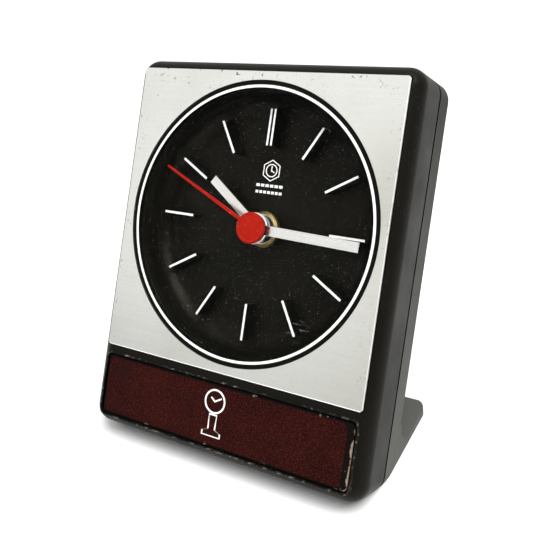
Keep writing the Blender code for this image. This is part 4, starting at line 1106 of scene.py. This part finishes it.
def add_band(bm, outline, width, near, far):
    """A closed band round an outline, `width` wide inwards."""
    middle = Vector((sum(p[0] for p in outline), sum(p[1] for p in outline))) / len(outline)
    rings = []
    for share, depth in ((0, near), (0, far), (1, far), (1, near)):
        ring = []
        for px, pz in outline:
            inward = (middle - Vector((px, pz))).normalized() * width * share
            ring.append(bm.verts.new((px + inward.x, depth, pz + inward.y)))
        rings.append(ring)
    for ring, following in zip(rings, rings[1:] + rings[:1]):
        bridge(bm, ring, following)


# ---- CAD pieces that keep their shape ----
def paint_cad():
    kept = {
        BRASS: ("centre_wheel", "third_wheel", "seconds_wheel"),
        NUT_BRASS: ("nut_washer",),
        STEEL: (
            "rotor", "setting_arbor", "stator", "coil_core", "coil_screw_top", "coil_screw_bottom",
            "quartz_crystal", "case_screw_top_left", "case_screw_top_right",
            "case_screw_bottom_left", "case_screw_bottom_right", "tray_screw_left",
            "tray_screw_right", "movement_screw_left", "movement_screw_right",
        ),
        NYLON: ("hour_wheel", "minute_work_wheel", "intermediate_wheel", "coil_bobbin", "trimmer"),
        INNER_PLASTIC: ("movement_base", "movement_cover", "battery_tray"),
        GILT: ("contact_minus", "contact_plus"),
        COPPER: ("coil_winding",),
        BOARD: ("circuit_board",),
        CHIP: ("timing_chip",),
        SLEEVE: ("battery_cell",),
        RUBBER: (
            "foot_pad_front_left", "foot_pad_front_right", "foot_pad_rear_left",
            "foot_pad_rear_right",
        ),
    }
    for paint, nodes in kept.items():
        for node in nodes:
            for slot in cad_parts[node].material_slots:
                slot.material = paint


# ---- studio ----
def white_floor():
    """A pale floor that glows a little with distance, so it runs into the white room."""
    bpy.ops.mesh.primitive_plane_add(size=6, location=(0, 0, 0))
    floor = bpy.context.object
    floor.name = "floor"
    paint = Paint("floor_white", (0.86, 0.86, 0.86), 0.9)
    tone = paint.mix(paint.noise(3, 2, 0.5), (0.90, 0.90, 0.895), (0.93, 0.93, 0.925))
    paint.set("Base Color", tone)
    away = paint.node("ShaderNodeVectorMath", operation="LENGTH")
    paint.feed(away.inputs[0], paint.coordinates)
    paint.set("Emission Color", (1, 1, 1))
    paint.set("Emission Strength", paint.span(away.outputs["Value"], 0.3, 2.2, 0.0, 0.6))
    floor.data.materials.append(paint.material)


def white_room():
    """White as seen by the camera, and dimmer in front of the clock than behind it as light."""
    world = bpy.data.worlds.new("studio")
    bpy.context.scene.world = world
    world.use_nodes = True
    tree = world.node_tree
    background = tree.nodes["Background"]
    background.inputs["Color"].default_value = (1, 1, 1, 1)
    rays = tree.nodes.new("ShaderNodeLightPath")
    facing = tree.nodes.new("ShaderNodeTexCoord")
    split = tree.nodes.new("ShaderNodeSeparateXYZ")
    room = tree.nodes.new("ShaderNodeMapRange")
    level = tree.nodes.new("ShaderNodeMix")
    for key, value in (("From Min", -0.4), ("From Max", 0.6), ("To Min", 0.16), ("To Max", 1.0)):
        room.inputs[key].default_value = value
    level.inputs[3].default_value = 1.0
    tree.links.new(facing.outputs["Generated"], split.inputs[0])
    tree.links.new(split.outputs["Y"], room.inputs["Value"])
    tree.links.new(rays.outputs["Is Camera Ray"], level.inputs[0])
    tree.links.new(room.outputs["Result"], level.inputs[2])
    tree.links.new(level.outputs[0], background.inputs["Strength"])


def area_light(name, place, size, power):
    """A square light turned to the middle of the clock."""
    light = bpy.data.lights.new(name, "AREA")
    light.energy = power
    light.size = size
    item = bpy.data.objects.new(name, light)
    item.location = place
    item.rotation_euler = (Vector(LIT_POINT) - Vector(place)).to_track_quat("-Z", "Y").to_euler()
    bpy.context.collection.objects.link(item)


def camera():
    """The camera, placed in the case's frame by its own right and down directions."""
    data = bpy.data.cameras.new("camera")
    data.lens = CAMERA_LENS
    data.sensor_width = 36
    data.shift_x, data.shift_y = CAMERA_SHIFT
    data.clip_start = 0.01
    viewer = bpy.data.objects.new("camera", data)
    right, down = Vector(CAMERA_RIGHT), Vector(CAMERA_DOWN)
    forward = right.cross(down)
    turn = Matrix((right, -down, -forward)).transposed().to_4x4()
    viewer.matrix_world = CASE @ Matrix.Translation(CAMERA_PLACE) @ turn
    bpy.context.collection.objects.link(viewer)
    bpy.context.scene.camera = viewer
    bpy.context.scene.view_settings.view_transform = "Standard"


front_shell()
rear_cover()
face_plate()
lens()
printed_rings()
dial()
hands()
cap_and_nut()
strip()
battery_door()
setting_knob()
dial_print()
strip_print()
paint_cad()
white_floor()
white_room()
for light in LIGHTS:
    area_light(*light)
camera()
